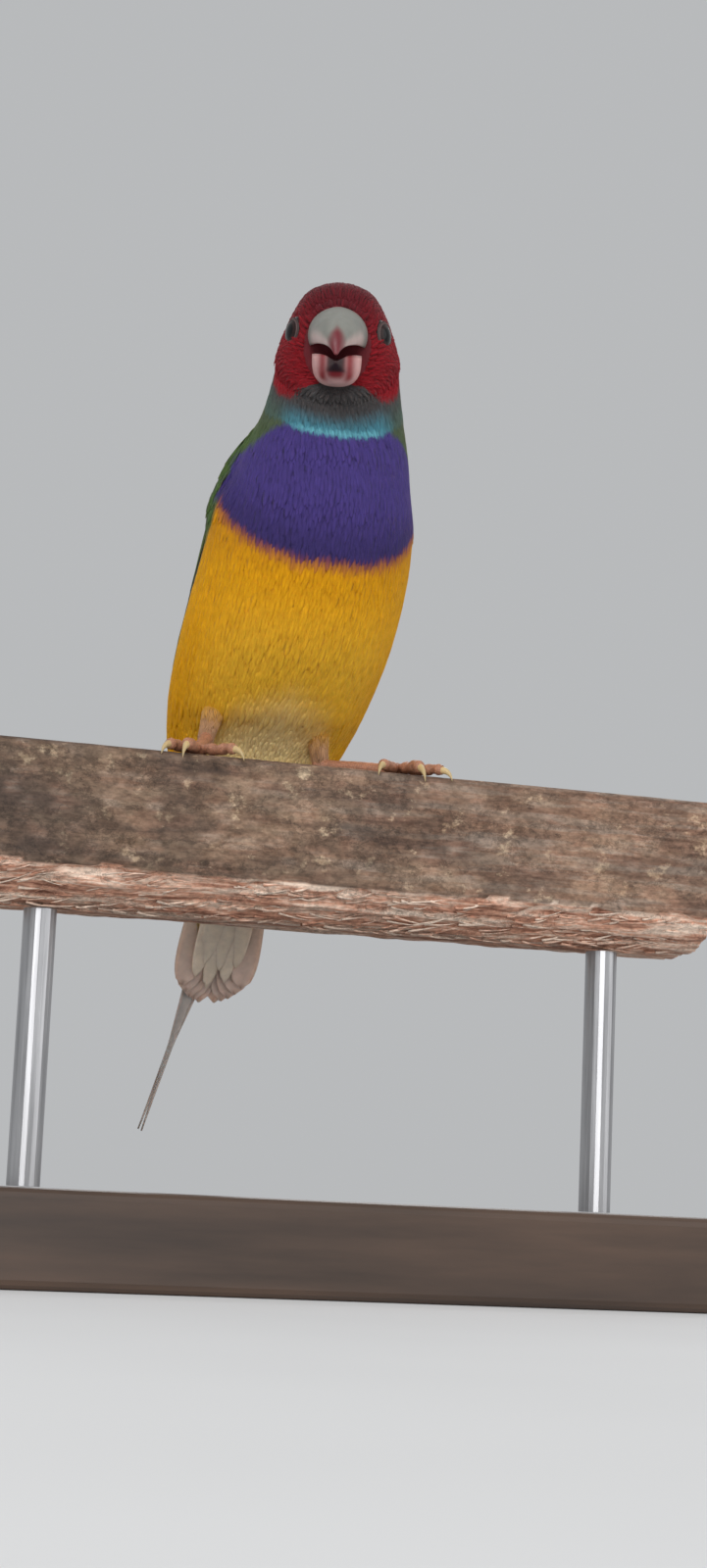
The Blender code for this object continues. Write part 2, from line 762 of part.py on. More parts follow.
def main():
    clear_scene()
    plumage = material("plumage", (0.78, 0.42, 0.02), 0.75)
    mask = material("mask_feathers", (0.32, 0.015, 0.02), 0.75)
    green = material("wing_feathers", (0.09, 0.16, 0.05), 0.7)
    tail_look = material("tail_feathers", (0.1, 0.08, 0.07), 0.7)
    horn = material("bill_horn", (0.62, 0.52, 0.46), 0.45)
    skin = material("leg_skin", (0.5, 0.3, 0.2), 0.55)
    claw = material("claw_horn", (0.6, 0.5, 0.35), 0.4)
    eye = material("eye", (0.01, 0.008, 0.007), 0.1)
    wood = material("perch_wood", (0.2, 0.14, 0.1), 0.9)
    base_wood = material("stand_wood", (0.05, 0.035, 0.025), 0.5)
    steel = material("stand_steel", (0.5, 0.5, 0.5), 0.35, 1.0)

    torso = make_torso(plumage)
    make_neck(plumage)
    make_head(mask)
    make_eyes(eye)
    make_upper_bill(horn)
    make_lower_bill(horn)
    for word in ("right", "left"):
        thigh = make_thigh(word, plumage)
        cut(torso, pocket(*thigh, 14, plumage))
        make_tarsus(word, torso, thigh, skin)
        make_foot(word, skin)
        make_claws(word, claw)
        make_wing(word, green)
    make_tail(tail_look)
    make_perch(wood)
    make_stand(base_wood, steel)


main()
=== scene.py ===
"""Gouldian finch gripping a cut length of batten on a plain stand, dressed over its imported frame.

Sizes are in millimetres and angles in degrees, as in the solids, and MM turns them into metres. The
body's form is a set of rings from the tail's root to the bill. A place on it is a ring number and an angle
from the back's middle line towards the bird's left.
"""

import math

import bmesh
import bpy
import numpy as np
from bpy.props import FloatProperty, FloatVectorProperty, IntProperty, PointerProperty
from mathutils import Matrix, Vector, noise


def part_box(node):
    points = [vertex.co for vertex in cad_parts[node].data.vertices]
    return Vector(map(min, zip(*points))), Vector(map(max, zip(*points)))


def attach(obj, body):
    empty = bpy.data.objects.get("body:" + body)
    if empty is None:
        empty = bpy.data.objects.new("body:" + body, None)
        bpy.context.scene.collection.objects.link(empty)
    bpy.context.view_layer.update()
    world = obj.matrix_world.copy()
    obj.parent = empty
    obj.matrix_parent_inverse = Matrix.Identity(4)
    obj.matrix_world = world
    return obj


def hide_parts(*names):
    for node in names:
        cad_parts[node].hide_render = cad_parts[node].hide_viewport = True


bl_info = {
    "name": "Gouldian Finch",
    "version": (1, 0, 0),
    "blender": (4, 5, 0),
    "location": "3D View > Sidebar > Finch",
    "description": "Feathers, bill, eyes, legs, perch and stage for the finch's frame",
    "category": "Object",
}

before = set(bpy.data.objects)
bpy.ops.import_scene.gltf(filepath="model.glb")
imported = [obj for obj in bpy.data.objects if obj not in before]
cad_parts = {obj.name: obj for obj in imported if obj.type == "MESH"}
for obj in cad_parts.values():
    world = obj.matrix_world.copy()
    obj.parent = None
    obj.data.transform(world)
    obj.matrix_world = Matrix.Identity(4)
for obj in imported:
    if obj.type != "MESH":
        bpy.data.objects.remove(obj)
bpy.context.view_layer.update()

MM = 0.001
PERCH_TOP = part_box("perch")[1][2] / MM
BIRD_PLACE = np.array((-6.0, -7.0, PERCH_TOP))

# The body's rings, as the solids have them: back line y z, belly line y z, half width, the middle's share
# of the way from the belly to the back, and how far the ring leans to the side.
BODY_RINGS = (
    (28.4, -19.0, 24.8, -20.5, 4.4, 0.50, -2.5),
    (26.8, -11.5, 18.6, -14.5, 6.2, 0.50, -2.4),
    (25.2, -3.5, 12.4, -7.2, 8.9, 0.50, -2.2),
    (23.0, 5.0, 9.0, 2.3, 11.9, 0.50, -1.9),
    (20.2, 14.0, 1.0, 8.6, 13.9, 0.50, -1.4),
    (17.0, 23.0, -6.6, 16.0, 14.6, 0.50, -0.5),
    (13.6, 32.0, -11.2, 25.0, 14.4, 0.50, 0.5),
    (10.2, 40.0, -13.2, 34.0, 13.5, 0.50, 1.1),
    (6.8, 47.0, -12.8, 41.6, 11.9, 0.50, 1.6),
    (3.9, 54.0, -11.6, 46.8, 10.1, 0.50, 2.2),
)
# The same for the head, with the lines given along its axis and up from its place.
HEAD_RINGS = (
    (-10.6, 1.0, 5.8, -7.4, 8.9, 0.50, 2.5),
    (-9.7, 5.4, 5.5, -6.6, 8.9, 0.48, 2.5),
    (-6.3, 8.2, 5.2, -6.1, 8.5, 0.46, 2.5),
    (-1.6, 8.9, 4.9, -5.8, 7.5, 0.46, 2.5),
    (2.4, 7.7, 4.7, -5.5, 6.0, 0.47, 2.5),
    (4.6, 5.6, 4.6, -5.2, 4.5, 0.48, 2.5),
)
HEAD_PLACE = (-8.0, 61.1)
PLACE_ABOVE_MOUTH = 2.6
HEAD_DOWN = 17.0
HEAD_TURN = 17.0
NECK_AXIS_Y = -3.0
TURN_FROM, TURN_TO = 7.0, 10.5
BILL_RING = 15.0
EYE_RING, EYE_ANGLE, EYE_RADIUS, EYE_DEPTH = 13.54, 76.5, 2.7, 2.62
# How much more an eye looks to the side and down than the head's surface does.
EYE_ASIDE, EYE_DOWN = 0.3, 0.16

# Borders of the plumage's colours: angle from the back's middle line, ring number.
MASK_EDGE = (
    (0, 10.95), (45, 10.45), (76, 9.95), (98, 9.62), (118, 9.48), (134, 9.52),
    (142, 9.8), (149, 10.3), (153, 11.2), (156, 13.0), (158.5, 15.4), (180, 15.4),
)
BLACK_EDGE = (
    (0, 10.75), (45, 10.25), (76, 9.75), (98, 9.35), (118, 9.2), (144, 9.08), (160, 8.95), (180, 8.87),
)
COLLAR_EDGE = (
    (0, 10.1), (45, 9.6), (76, 9.15), (98, 8.9), (118, 8.82),
    (128, 8.8), (136, 8.7), (147, 8.56), (158, 8.5), (180, 8.45),
)
BREAST_TOP = ((66, 7.7), (86, 7.85), (98, 8.0), (108, 8.1), (123, 8.5), (136, 8.7), (180, 8.7))
BREAST_FOOT = ((70, 7.0), (88, 6.92), (96, 6.8), (112, 6.58), (135, 6.35), (159, 6.2), (180, 6.2))
FLANK_EDGE = ((5.2, 73.0), (6.6, 86.0))
VENT_EDGE = ((90, 1.6), (125, 2.4), (150, 3.3), (180, 3.7))
RUMP_EDGE = 3.6


def linear(*shades):
    """The linear colour of a display colour given from 0 to 255."""
    return tuple(((s / 255 + 0.055) / 1.055) ** 2.4 if s > 10 else s / 255 / 12.92 for s in shades)


# Forms


def through(rows, t):
    """Points of the smooth curve through the rows, at row numbers t."""
    rows = np.asarray(rows, float)
    t = np.asarray(t, float)
    last = len(rows) - 1
    i = np.clip(np.floor(t).astype(int), 0, last - 1)
    u = (t - i)[..., None]
    wide = np.vstack((2 * rows[0] - rows[1], rows, 2 * rows[-1] - rows[-2]))
    before, a, b, after = (wide[i + k] for k in range(4))
    return 0.5 * (
        2 * a
        + (b - before) * u
        + (2 * before - 5 * a + 4 * b - after) * u**2
        + (3 * a - before - 3 * b + after) * u**3
    )


def eased(value, low, high):
    """A smooth step from 0 at low to 1 at high."""
    share = np.clip((np.asarray(value, float) - low) / (high - low), 0.0, 1.0)
    return share * share * (3 - 2 * share)


def between(value, a, b, c, d):
    """A share that rises from a to b and falls from c to d."""
    return eased(value, a, b) * (1 - eased(value, c, d))


def hump(value, width, middle=0.0):
    """A bell-shaped curve, 1 at its middle."""
    return np.exp(-(((value - middle) / width) ** 2))


def once_round(count):
    """Angles in even steps once round."""
    return np.linspace(0, 2 * math.pi, count, endpoint=False)


def head_point(along, up):
    """The bird's y and z of a point given along the head's axis and up from it."""
    down = math.radians(HEAD_DOWN)
    rise = np.asarray(up, float) - PLACE_ABOVE_MOUTH
    y = HEAD_PLACE[0] - along * math.cos(down) - rise * math.sin(down)
    z = HEAD_PLACE[1] - along * math.sin(down) + rise * math.cos(down)
    return y, z


RINGS = [list(row) for row in BODY_RINGS]
for back_a, back_u, belly_a, belly_u, half, share, lean in HEAD_RINGS:
    RINGS.append([*head_point(back_a, back_u), *head_point(belly_a, belly_u), half, share, lean])


def turned(x, y, z, share, lean):
    """The scene's point for a point of the bird, with its share of the head's turn."""
    angle = math.radians(-HEAD_TURN) * share
    ahead = y - NECK_AXIS_Y
    across = x * np.cos(angle) - ahead * np.sin(angle) + lean
    along = x * np.sin(angle) + ahead * np.cos(angle) + NECK_AXIS_Y
    return np.stack(np.broadcast_arrays(across, along, z), axis=-1) + BIRD_PLACE


def form_surface(t, angle):
    """Points of the body's form at ring numbers t and angles in radians."""
    t, angle = np.broadcast_arrays(np.asarray(t, float), np.asarray(angle, float))
    back_y, back_z, belly_y, belly_z, half, share, lean = np.moveaxis(through(RINGS, t), -1, 0)
    mid_y = belly_y + (back_y - belly_y) * share
    mid_z = belly_z + (back_z - belly_z) * share
    upper = np.cos(angle) > 0
    reach = np.abs(np.cos(angle))
    y = mid_y + (np.where(upper, back_y, belly_y) - mid_y) * reach
    z = mid_z + (np.where(upper, back_z, belly_z) - mid_z) * reach
    return turned(half * np.sin(angle), y, z, eased(t, TURN_FROM, TURN_TO), lean)


def unit(v):
    """Vectors of length 1."""
    return v / np.maximum(np.linalg.norm(v, axis=-1, keepdims=True), 1e-9)


def form_normal(t, angle, step=0.02):
    """The way the form's surface faces."""
    along = form_surface(t + step, angle) - form_surface(t - step, angle)
    around = form_surface(t, angle + step) - form_surface(t, angle - step)
    return unit(np.cross(along, around))


def form_place(t, angle, out=0.0):
    """Points of the body's form raised by out."""
    t, angle = np.broadcast_arrays(np.asarray(t, float), np.asarray(angle, float))
    return form_surface(t, angle) + form_normal(t, angle) * np.asarray(out, float)[..., None]


def head_space(along, up, across):
    """The scene's point for one given along the head's axis, up from it and across it."""
    y, z = head_point(np.asarray(along, float), up)
    return turned(np.asarray(across, float), y, z, 1.0, HEAD_RINGS[-1][-1])


def eye_centre(side):
    """The middle of an eyeball and the way it looks, further aside and down than the head's surface."""
    place = form_place(EYE_RING, math.radians(side * EYE_ANGLE))
    out = form_normal(EYE_RING, math.radians(side * EYE_ANGLE))
    centre = place - out * EYE_DEPTH
    aside = unit(head_space(0.0, 0.0, side) - head_space(0.0, 0.0, 0.0))
    below = unit(head_space(0.0, -1.0, 0.0) - head_space(0.0, 0.0, 0.0))
    return centre, unit(out + aside * EYE_ASIDE + below * EYE_DOWN)


# Meshes

MAP_MARGIN, MAP_SPAN = 0.02, 0.96
# The bake map of the long vanes: cells in a row, a vane's corner in its cell, half its width, its length,
# and how far beside it its low side lies.
VANE_CELLS = 7
VANE_CORNER, VANE_HALF, VANE_LENGTH, VANE_BESIDE = 0.08, 0.2, 0.84, 0.44


class Batch:
    """Closed pieces gathered into one mesh, each point with a colour and a place on the bake map."""

    def __init__(self):
        self.points, self.faces, self.tints, self.patches = [], [], [], []
        self.count = self.vanes = 0

    def add(self, points, faces, tint, patch=None):
        """Adds one closed piece. tint is one colour, or one for each point."""
        points = np.asarray(points, float).reshape(-1, 3)
        if patch is None:
            patch = np.zeros((len(points), 2))
        self.points.append(points)
        self.faces += [tuple(self.count + k for k in face) for face in faces]
        self.tints.append(np.broadcast_to(np.asarray(tint, float), (len(points), 3)))
        self.patches.append(np.asarray(patch, float).reshape(-1, 2))
        self.count += len(points)

    def add_tube(self, rings, tint):
        """Adds a closed tube through rings of points, with one colour or one for each ring or point."""
        tint = np.asarray(tint, float)
        if tint.ndim == 2:
            tint = tint[:, None]
        self.add(rings, tube_faces(*rings.shape[:2]), np.broadcast_to(tint, rings.shape).reshape(-1, 3))

    def add_vane(self, high, low, over, under):
        """Adds a vane as a closed plate, with a cell of the bake map for its high and its low side."""
        u, x = vane_grid(*high.shape[:2])
        across = self.vanes % VANE_CELLS + VANE_CORNER + VANE_HALF * (x + 1)
        along = self.vanes // VANE_CELLS + VANE_CORNER + VANE_LENGTH * u
        spot = np.stack((across, along), axis=-1)
        self.add(
            np.stack((high, low)),
            sheet_faces(*u.shape),
            np.stack([np.broadcast_to(tint, high.shape) for tint in (over, under)]).reshape(-1, 3),
            np.stack((spot, spot + (VANE_BESIDE, 0.0))) / VANE_CELLS,
        )
        self.vanes += 1

    def make(self, name, look, mapped=True):
        """The gathered pieces as one object."""
        made = new_piece(name, np.concatenate(self.points), self.faces, look)
        put_colour(made.data, "tint", np.concatenate(self.tints))
        if mapped:
            put_map(made.data, np.concatenate(self.patches)[corner_points(made.data)])
        return made


def new_piece(name, points, faces, look, smooth=True):
    """An object with its faces outward, from points in millimetres."""
    mesh = bpy.data.meshes.new(name)
    mesh.from_pydata((np.asarray(points) * MM).tolist(), [], faces)
    form = bmesh.new()
    form.from_mesh(mesh)
    bmesh.ops.recalc_face_normals(form, faces=form.faces)
    form.to_mesh(mesh)
    form.free()
    if smooth:
        mesh.shade_smooth()
    if look:
        mesh.materials.append(look)
    made = bpy.data.objects.new(name, mesh)
    bpy.context.scene.collection.objects.link(made)
    return made


def put_colour(mesh, name, tints):
    """Writes a colour for each point."""
    layer = mesh.attributes.new(name, "FLOAT_COLOR", "POINT")
    full = np.ones((len(tints), 4), np.float32)
    full[:, :3] = tints
    layer.data.foreach_set("color", full.ravel())


def put_vector(mesh, name, vectors):
    """Writes a vector for each point."""
    layer = mesh.attributes.new(name, "FLOAT_VECTOR", "POINT")
    layer.data.foreach_set("vector", np.asarray(vectors, np.float32).ravel())


def put_zones(mesh, zones):
    """Writes a coat zone for each face."""
    mesh.attributes.new("zone", "INT", "FACE").data.foreach_set("value", np.asarray(zones, np.int32))


def corner_points(mesh):
    """The point's number at each corner of each face."""
    corners = np.empty(len(mesh.loops), np.int32)
    mesh.loops.foreach_get("vertex_index", corners)
    return corners


def put_map(mesh, spots):
    """Writes the bake map, from a place for each corner of each face."""
    layer = mesh.uv_layers.new(name="OFBake")
    layer.uv.foreach_set("vector", spots.astype(np.float32).ravel())


def unwrap(around, along):
    """Places on a skin's bake map, from shares of the way round it and along it."""
    return np.stack((MAP_MARGIN + MAP_SPAN * around, MAP_MARGIN + MAP_SPAN * along), axis=-1)


def sheet_faces(rows, columns):
    """Faces of a closed plate: its high grid's points come first, then its low grid's."""
    low = rows * columns
    faces = []
    for i in range(rows - 1):
        for j in range(columns - 1):
            a, d = i * columns + j, (i + 1) * columns + j
            b, c = a + 1, d + 1
            faces.append((a, b, c, d))
            faces.append((low + a, low + d, low + c, low + b))
    rim = list(range(columns))
    rim += [i * columns + columns - 1 for i in range(1, rows)]
    rim += [(rows - 1) * columns + j for j in range(columns - 2, -1, -1)]
    rim += [i * columns for i in range(rows - 2, 0, -1)]
    for a, b in zip(rim, rim[1:] + rim[:1]):
        faces.append((a, low + a, low + b, b))
    return faces


def tube_faces(rows, sides):
    """Faces of a tube with closed ends, its rings of points one after another."""
    faces = [tuple(range(sides))]
    for i in range(rows - 1):
        for j in range(sides):
            k = (j + 1) % sides
            faces.append((i * sides + j, i * sides + k, (i + 1) * sides + k, (i + 1) * sides + j))
    faces.append(tuple(range((rows - 1) * sides, rows * sides)))
    return faces


def tube_points(path, radii, sides, flat=1.0):
    """Rings of points along a path in millimetres. flat squashes them across the upright."""
    path = np.asarray(path, float)
    ahead = unit(np.gradient(path, axis=0))
    across = unit(np.cross(ahead, np.broadcast_to((0.02, 0.01, 1.0), ahead.shape)))
    up = np.cross(across, ahead)
    turn = once_round(sides)
    radii = np.asarray(radii, float)
    if radii.ndim == 1:
        radii = np.repeat(radii[:, None], sides, axis=1)
    wide = across[:, None] * np.cos(turn)[None, :, None]
    tall = up[:, None] * np.sin(turn)[None, :, None] * flat
    return path[:, None] + (wide + tall) * radii[..., None]


def smooth_path(points, count):
    """A smooth path of count points through the given ones."""
    points = np.asarray(points, float)
    return through(points, np.linspace(0, len(points) - 1, count))


def dressed(piece, nodes=()):
    """The piece on its body, with the nodes it stands for."""
    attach(piece, "root")
    if nodes:
        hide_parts(*nodes)
    return piece


# Materials


def give(tree, socket, value):
    """Links another socket into this one, or sets its value."""
    if isinstance(value, bpy.types.NodeSocket):
        tree.links.new(value, socket)
    elif socket.type == "RGBA":
        socket.default_value = (*value, 1.0)
    else:
        socket.default_value = value


def node(tree, kind, inputs=None, **settings):
    """A new node with its settings, and with sockets or values for its inputs, by name or number."""
    made = tree.nodes.new(kind)
    for key, value in settings.items():
        setattr(made, key, value)
    for key, value in (inputs or {}).items():
        give(tree, made.inputs[key], value)
    return made


def new_material(name, inputs=None):
    """A new material, its tree and its shader, with the values that are the same all over."""
    look = bpy.data.materials.new(name)
    look.use_nodes = True
    shader = look.node_tree.nodes["Principled BSDF"]
    for key, value in (inputs or {}).items():
        shader.inputs[key].default_value = value
    return look, look.node_tree, shader


def worked(tree, operation, *values):
    """The outcome of one sum, each value a socket or a number."""
    return node(tree, "ShaderNodeMath", dict(enumerate(values)), operation=operation).outputs[0]


def moved(tree, operation, inputs):
    """The outcome of one sum of vectors."""
    return node(tree, "ShaderNodeVectorMath", inputs, operation=operation).outputs[0]


def ranged(tree, source, low, high, start=0.0):
    """A socket's values from start to 1, brought between low and high."""
    return node(tree, "ShaderNodeMapRange", {0: source, 1: start, 3: low, 4: high}).outputs[0]


def attribute(tree, name):
    """The sockets of a mesh attribute."""
    return node(tree, "ShaderNodeAttribute", attribute_name=name).outputs


def object_place(tree, stretch):
    """The object's own coordinates, scaled by stretch."""
    place = node(tree, "ShaderNodeTexCoord").outputs["Object"]
    return node(tree, "ShaderNodeMapping", {"Vector": place, "Scale": stretch}).outputs["Vector"]


def object_noise(tree, scale, detail=4.0, stretch=(1.0, 1.0, 1.0), roughness=0.55):
    """Noise on the object's own coordinates: its sockets Fac and Color."""
    place = object_place(tree, stretch)
    values = {"Vector": place, "Scale": scale, "Detail": detail, "Roughness": roughness}
    return node(tree, "ShaderNodeTexNoise", values).outputs


def ramp(tree, source, *stops):
    """A socket's value turned into colours, each stop a place and a colour or a grey."""
    made = node(tree, "ShaderNodeValToRGB", {"Fac": source})
    band = made.color_ramp
    while len(band.elements) < len(stops):
        band.elements.new(0.5)
    for element, (place, colour) in zip(band.elements, stops):
        element.position = place
        element.color = (*((colour,) * 3 if isinstance(colour, float) else colour), 1.0)
    return made.outputs["Color"]


def mixed(tree, factor, a, b, blend="MIX"):
    """A colour mix. factor, a and b are sockets, or a number and colours."""
    made = node(tree, "ShaderNodeMix", data_type="RGBA", blend_type=blend)
    for number, value in ((0, factor), (6, a), (7, b)):
        give(tree, made.inputs[number], value)
    return made.outputs[2]


def tinted(tree, scale, detail, low, high):
    """Each point's own colour, dimmed and raised a little by noise."""
    shade = ramp(tree, object_noise(tree, scale, detail)["Fac"], (0.3, low), (0.7, high))
    return mixed(tree, 1.0, attribute(tree, "tint")["Color"], shade, "MULTIPLY")


def bumped(tree, shader, height, strength, distance):
    """Small relief on a shader's surface, its distance in metres."""
    bump = node(tree, "ShaderNodeBump", {"Height": height, "Strength": strength, "Distance": distance})
    give(tree, shader.inputs["Normal"], bump.outputs["Normal"])


# The barbs' slant from the shaft, and how close they stand along a vane.
BARB_SLANT, BARB_COUNT = -0.55, 150.0


def feather_material(name, roughness=0.75):
    """Plumage: each vane's own colour, with barbs that run out from its shaft."""
    look, tree, shader = new_material(name, {
        "Roughness": roughness,
        "Sheen Weight": 0.04,
        "Sheen Roughness": 0.4,
        "Specular IOR Level": 0.14,
        "Subsurface Weight": 0.3,
        "Subsurface Radius": (1.0, 0.6, 0.45),
        "Subsurface Scale": 0.0007,
    })
    place = node(tree, "ShaderNodeSeparateXYZ", {0: attribute(tree, "vane")["Vector"]}).outputs
    side = worked(tree, "ABSOLUTE", place["X"])
    slant = worked(tree, "MULTIPLY_ADD", side, BARB_SLANT, place["Y"])
    wave = worked(tree, "SINE", worked(tree, "MULTIPLY", slant, BARB_COUNT))
    barbs = ranged(tree, wave, 0.9, 1.05, start=-1.0)
    colour = mixed(tree, 1.0, tinted(tree, 900.0, 3.0, 0.89, 1.06), barbs, "MULTIPLY")
    give(tree, shader.inputs["Base Color"], colour)
    bumped(tree, shader, wave, 0.2, 0.00003)
    return look


def horn_material(name, roughness, coat=0.15):
    """Bill, claws and bare skin: smooth, with faint growth lines."""
    look, tree, shader = new_material(name, {
        "Coat Weight": coat,
        "Coat Roughness": 0.3,
        "Subsurface Weight": 0.12,
        "Subsurface Radius": (0.0012, 0.0006, 0.0004),
    })
    give(tree, shader.inputs["Base Color"], tinted(tree, 500.0, 4.0, 0.86, 1.06))
    growth = object_noise(tree, 1500.0, 3.0, (1.0, 0.25, 1.0))["Fac"]
    give(tree, shader.inputs["Roughness"], ranged(tree, growth, roughness - 0.08, roughness + 0.12))
    bumped(tree, shader, growth, 0.2, 0.00006)
    return look


def edge_cells(tree, place, scale):
    """Distance to the nearest edge of a net of cells."""
    values = {"Vector": place, "Scale": scale}
    return node(tree, "ShaderNodeTexVoronoi", values, feature="DISTANCE_TO_EDGE").outputs["Distance"]


def scaly_material(name):
    """Leg skin: small scutes with darker seams."""
    values = {"Roughness": 0.5, "Subsurface Weight": 0.1, "Subsurface Radius": (0.001, 0.0005, 0.0003)}
    look, tree, shader = new_material(name, values)
    place = node(tree, "ShaderNodeTexCoord").outputs["Object"]
    seam = ramp(tree, edge_cells(tree, place, 2600.0), (0.0, 0.55), (0.12, 1.0))
    colour = mixed(tree, 1.0, tinted(tree, 700.0, 4.0, 0.8, 1.15), seam, "MULTIPLY")
    give(tree, shader.inputs["Base Color"], colour)
    bumped(tree, shader, seam, 0.5, 0.00008)
    return look


def eye_material():
    """The eyeball: dark and wet."""
    values = {"Roughness": 0.22, "Specular IOR Level": 0.15, "Coat Weight": 0.14, "Coat Roughness": 0.04}
    look, tree, shader = new_material("eye_look", values)
    give(tree, shader.inputs["Base Color"], tinted(tree, 2500.0, 3.0, 0.75, 1.2))
    return look


def batten_material(colours):
    """Old sawn wood: grey-brown grain, pale worn spots, dark stains, a red-tan broken underside and painted
    highlight on some splinters.
    """
    look, tree, shader = new_material("batten_look")
    grain = object_noise(tree, 420.0, 8.0, (0.12, 1.0, 1.0), 0.65)
    stain = object_noise(tree, 75.0, 6.0, (0.55, 1.0, 1.0), 0.6)
    spots = object_noise(tree, 260.0, 5.0, (0.8, 1.0, 1.0), 0.7)
    mottle = object_noise(tree, 480.0, 7.0, (0.8, 1.0, 1.0), 0.75)
    fibre = object_noise(tree, 800.0, 6.0, (0.09, 1.0, 1.0), 0.7)
    specks = object_noise(tree, 1900.0, 3.0, (0.6, 1.0, 1.0), 0.6)
    wear_stain_and_highlight = node(tree, "ShaderNodeSeparateColor", {0: attribute(tree, "tint")["Color"]}).outputs

    lines = (0.28, colours.wood_dark), (0.5, colours.wood), (0.74, colours.wood_pale)
    body = ramp(tree, grain["Fac"], *lines)
    dark = ramp(tree, stain["Fac"], (0.45, 0.0), (0.62, 0.8))
    colour = mixed(tree, dark, body, colours.wood_dark)
    worn = ramp(tree, spots["Fac"], (0.585, 0.0), (0.66, 1.0))
    colour = mixed(tree, worn, colour, linear(186, 166, 140))
    blotch = ramp(tree, mottle["Fac"], (0.34, linear(196, 182, 170)), (0.62, (1.2, 1.17, 1.14)))
    colour = mixed(tree, 1.0, colour, blotch, "MULTIPLY")
    colour = mixed(tree, wear_stain_and_highlight["Green"], colour, linear(62, 50, 44))
    broken = (0.33, linear(118, 72, 54)), (0.47, linear(206, 154, 128)), (0.6, linear(242, 218, 198))
    colour = mixed(tree, wear_stain_and_highlight["Red"], colour, ramp(tree, fibre["Fac"], *broken))
    # Some splinters drawn paler still: painted highlight.
    colour = mixed(tree, wear_stain_and_highlight["Blue"], colour, linear(226, 206, 188))

    bent = moved(tree, "SCALE", {0: mottle["Color"], "Scale": 0.006})
    wavy = moved(tree, "ADD", {0: object_place(tree, (0.22, 1.0, 1.0)), 1: bent})
    crack = ramp(tree, edge_cells(tree, wavy, 210.0), (0.0, 0.4), (0.05, 1.0))
    colour = mixed(tree, 0.75, colour, crack, "MULTIPLY")
    grit = ramp(tree, specks["Fac"], (0.36, 0.72), (0.6, 1.14))
    give(tree, shader.inputs["Base Color"], mixed(tree, 1.0, colour, grit, "MULTIPLY"))
    give(tree, shader.inputs["Roughness"], ranged(tree, spots["Fac"], 0.78, 0.97))
    bumped(tree, shader, mixed(tree, 0.5, grain["Color"], fibre["Color"]), 0.55, 0.0004)
    return look


def stand_wood_material(colour):
    """Stained wood with a thin varnish."""
    look, tree, shader = new_material("stand_wood_look", {"Coat Weight": 0.25, "Coat Roughness": 0.25})
    grain = object_noise(tree, 150.0, 7.0, (0.1, 1.0, 1.0), 0.6)["Fac"]
    deep, pale = (tuple(share * c for c in colour) for share in (0.45, 1.7))
    give(tree, shader.inputs["Base Color"], ramp(tree, grain, (0.3, deep), (0.52, colour), (0.75, pale)))
    give(tree, shader.inputs["Roughness"], ranged(tree, grain, 0.32, 0.55))
    bumped(tree, shader, grain, 0.2, 0.0001)
    return look


def steel_material():
    """Steel, brushed along the rods."""
    look, tree, shader = new_material("stand_steel_look", {"Metallic": 1.0})
    brush = object_noise(tree, 1500.0, 4.0, (1.0, 1.0, 0.03), 0.6)["Fac"]
    tone = ramp(tree, brush, (0.3, linear(150, 150, 152)), (0.7, linear(196, 196, 198)))
    give(tree, shader.inputs["Base Color"], tone)
    give(tree, shader.inputs["Roughness"], ranged(tree, brush, 0.24, 0.42))
    return look


# Sizes and colours that a user would change


def size(name, text, value, low=0.0, high=100.0):
    """A size in millimetres that a user can change."""
    return FloatProperty(name=name, description=text, default=value, min=low, max=high)


def colour(name, text, *shades):
    """A colour that a user can change, given from 0 to 255."""
    return FloatVectorProperty(
        name=name, description=text, subtype="COLOR", size=3, min=0.0, max=1.0, default=linear(*shades)
    )


class FinchSizes(bpy.types.PropertyGroup):
    """Sizes of the finch's plumage, in millimetres"""

    head_spacing: size("Head Spacing", "Least distance between the head's feathers", 0.4, 0.2)
    neck_spacing: size("Neck Spacing", "Least distance between the neck's feathers", 0.55, 0.3)
    breast_spacing: size("Breast Spacing", "Least distance between the breast's feathers", 0.56, 0.3)
    belly_spacing: size("Belly Spacing", "Least distance between the belly's feathers", 0.6, 0.3)
    back_spacing: size("Back Spacing", "Least distance between the back's feathers", 0.9, 0.5)
    shoulder_spacing: size("Shoulder Spacing", "Least distance between the feathers over the arm", 0.75, 0.4)
    tail_spacing: size("Tail Spacing", "Least distance between the feathers at the tail's root", 0.9, 0.5)
    coat_depth: size("Coat Depth", "Depth of the plumage over the body's skin", 0.5, 0.1, 2.0)
    seed: IntProperty(name="Seed", description="Number that fixes the plumage's random draw", default=11)


class FinchColours(bpy.types.PropertyGroup):
    """Colours of the finch and its perch"""

    red: colour("Mask Red", "Colour of the face and crown", 142, 20, 30)
    black: colour("Throat Black", "Colour of the throat and the mask's border", 70, 66, 66)
    collar: colour("Collar", "Turquoise band behind the mask", 70, 132, 148)
    purple: colour("Breast Purple", "Colour of the breast", 71, 56, 121)
    yellow: colour("Belly Yellow", "Colour of the belly", 236, 158, 8)
    green: colour("Back Green", "Colour of the back and wings", 72, 94, 48)
    vent: colour("Vent White", "Colour of the vent and under the tail", 255, 218, 150)
    wood: colour("Batten", "Main colour of the old batten", 129, 106, 88)
    wood_dark: colour("Batten Dark", "Stains and deep grain of the batten", 70, 55, 46)
    wood_pale: colour("Batten Pale", "Raised grain of the batten", 160, 140, 118)
    stand: colour("Stand Wood", "Stained wood of the stand's base", 70, 52, 40)


def finch_sizes():
    """The user's sizes."""
    return bpy.context.scene.finch_sizes


def finch_colours():
    """The user's colours."""
    return bpy.context.scene.finch_colours
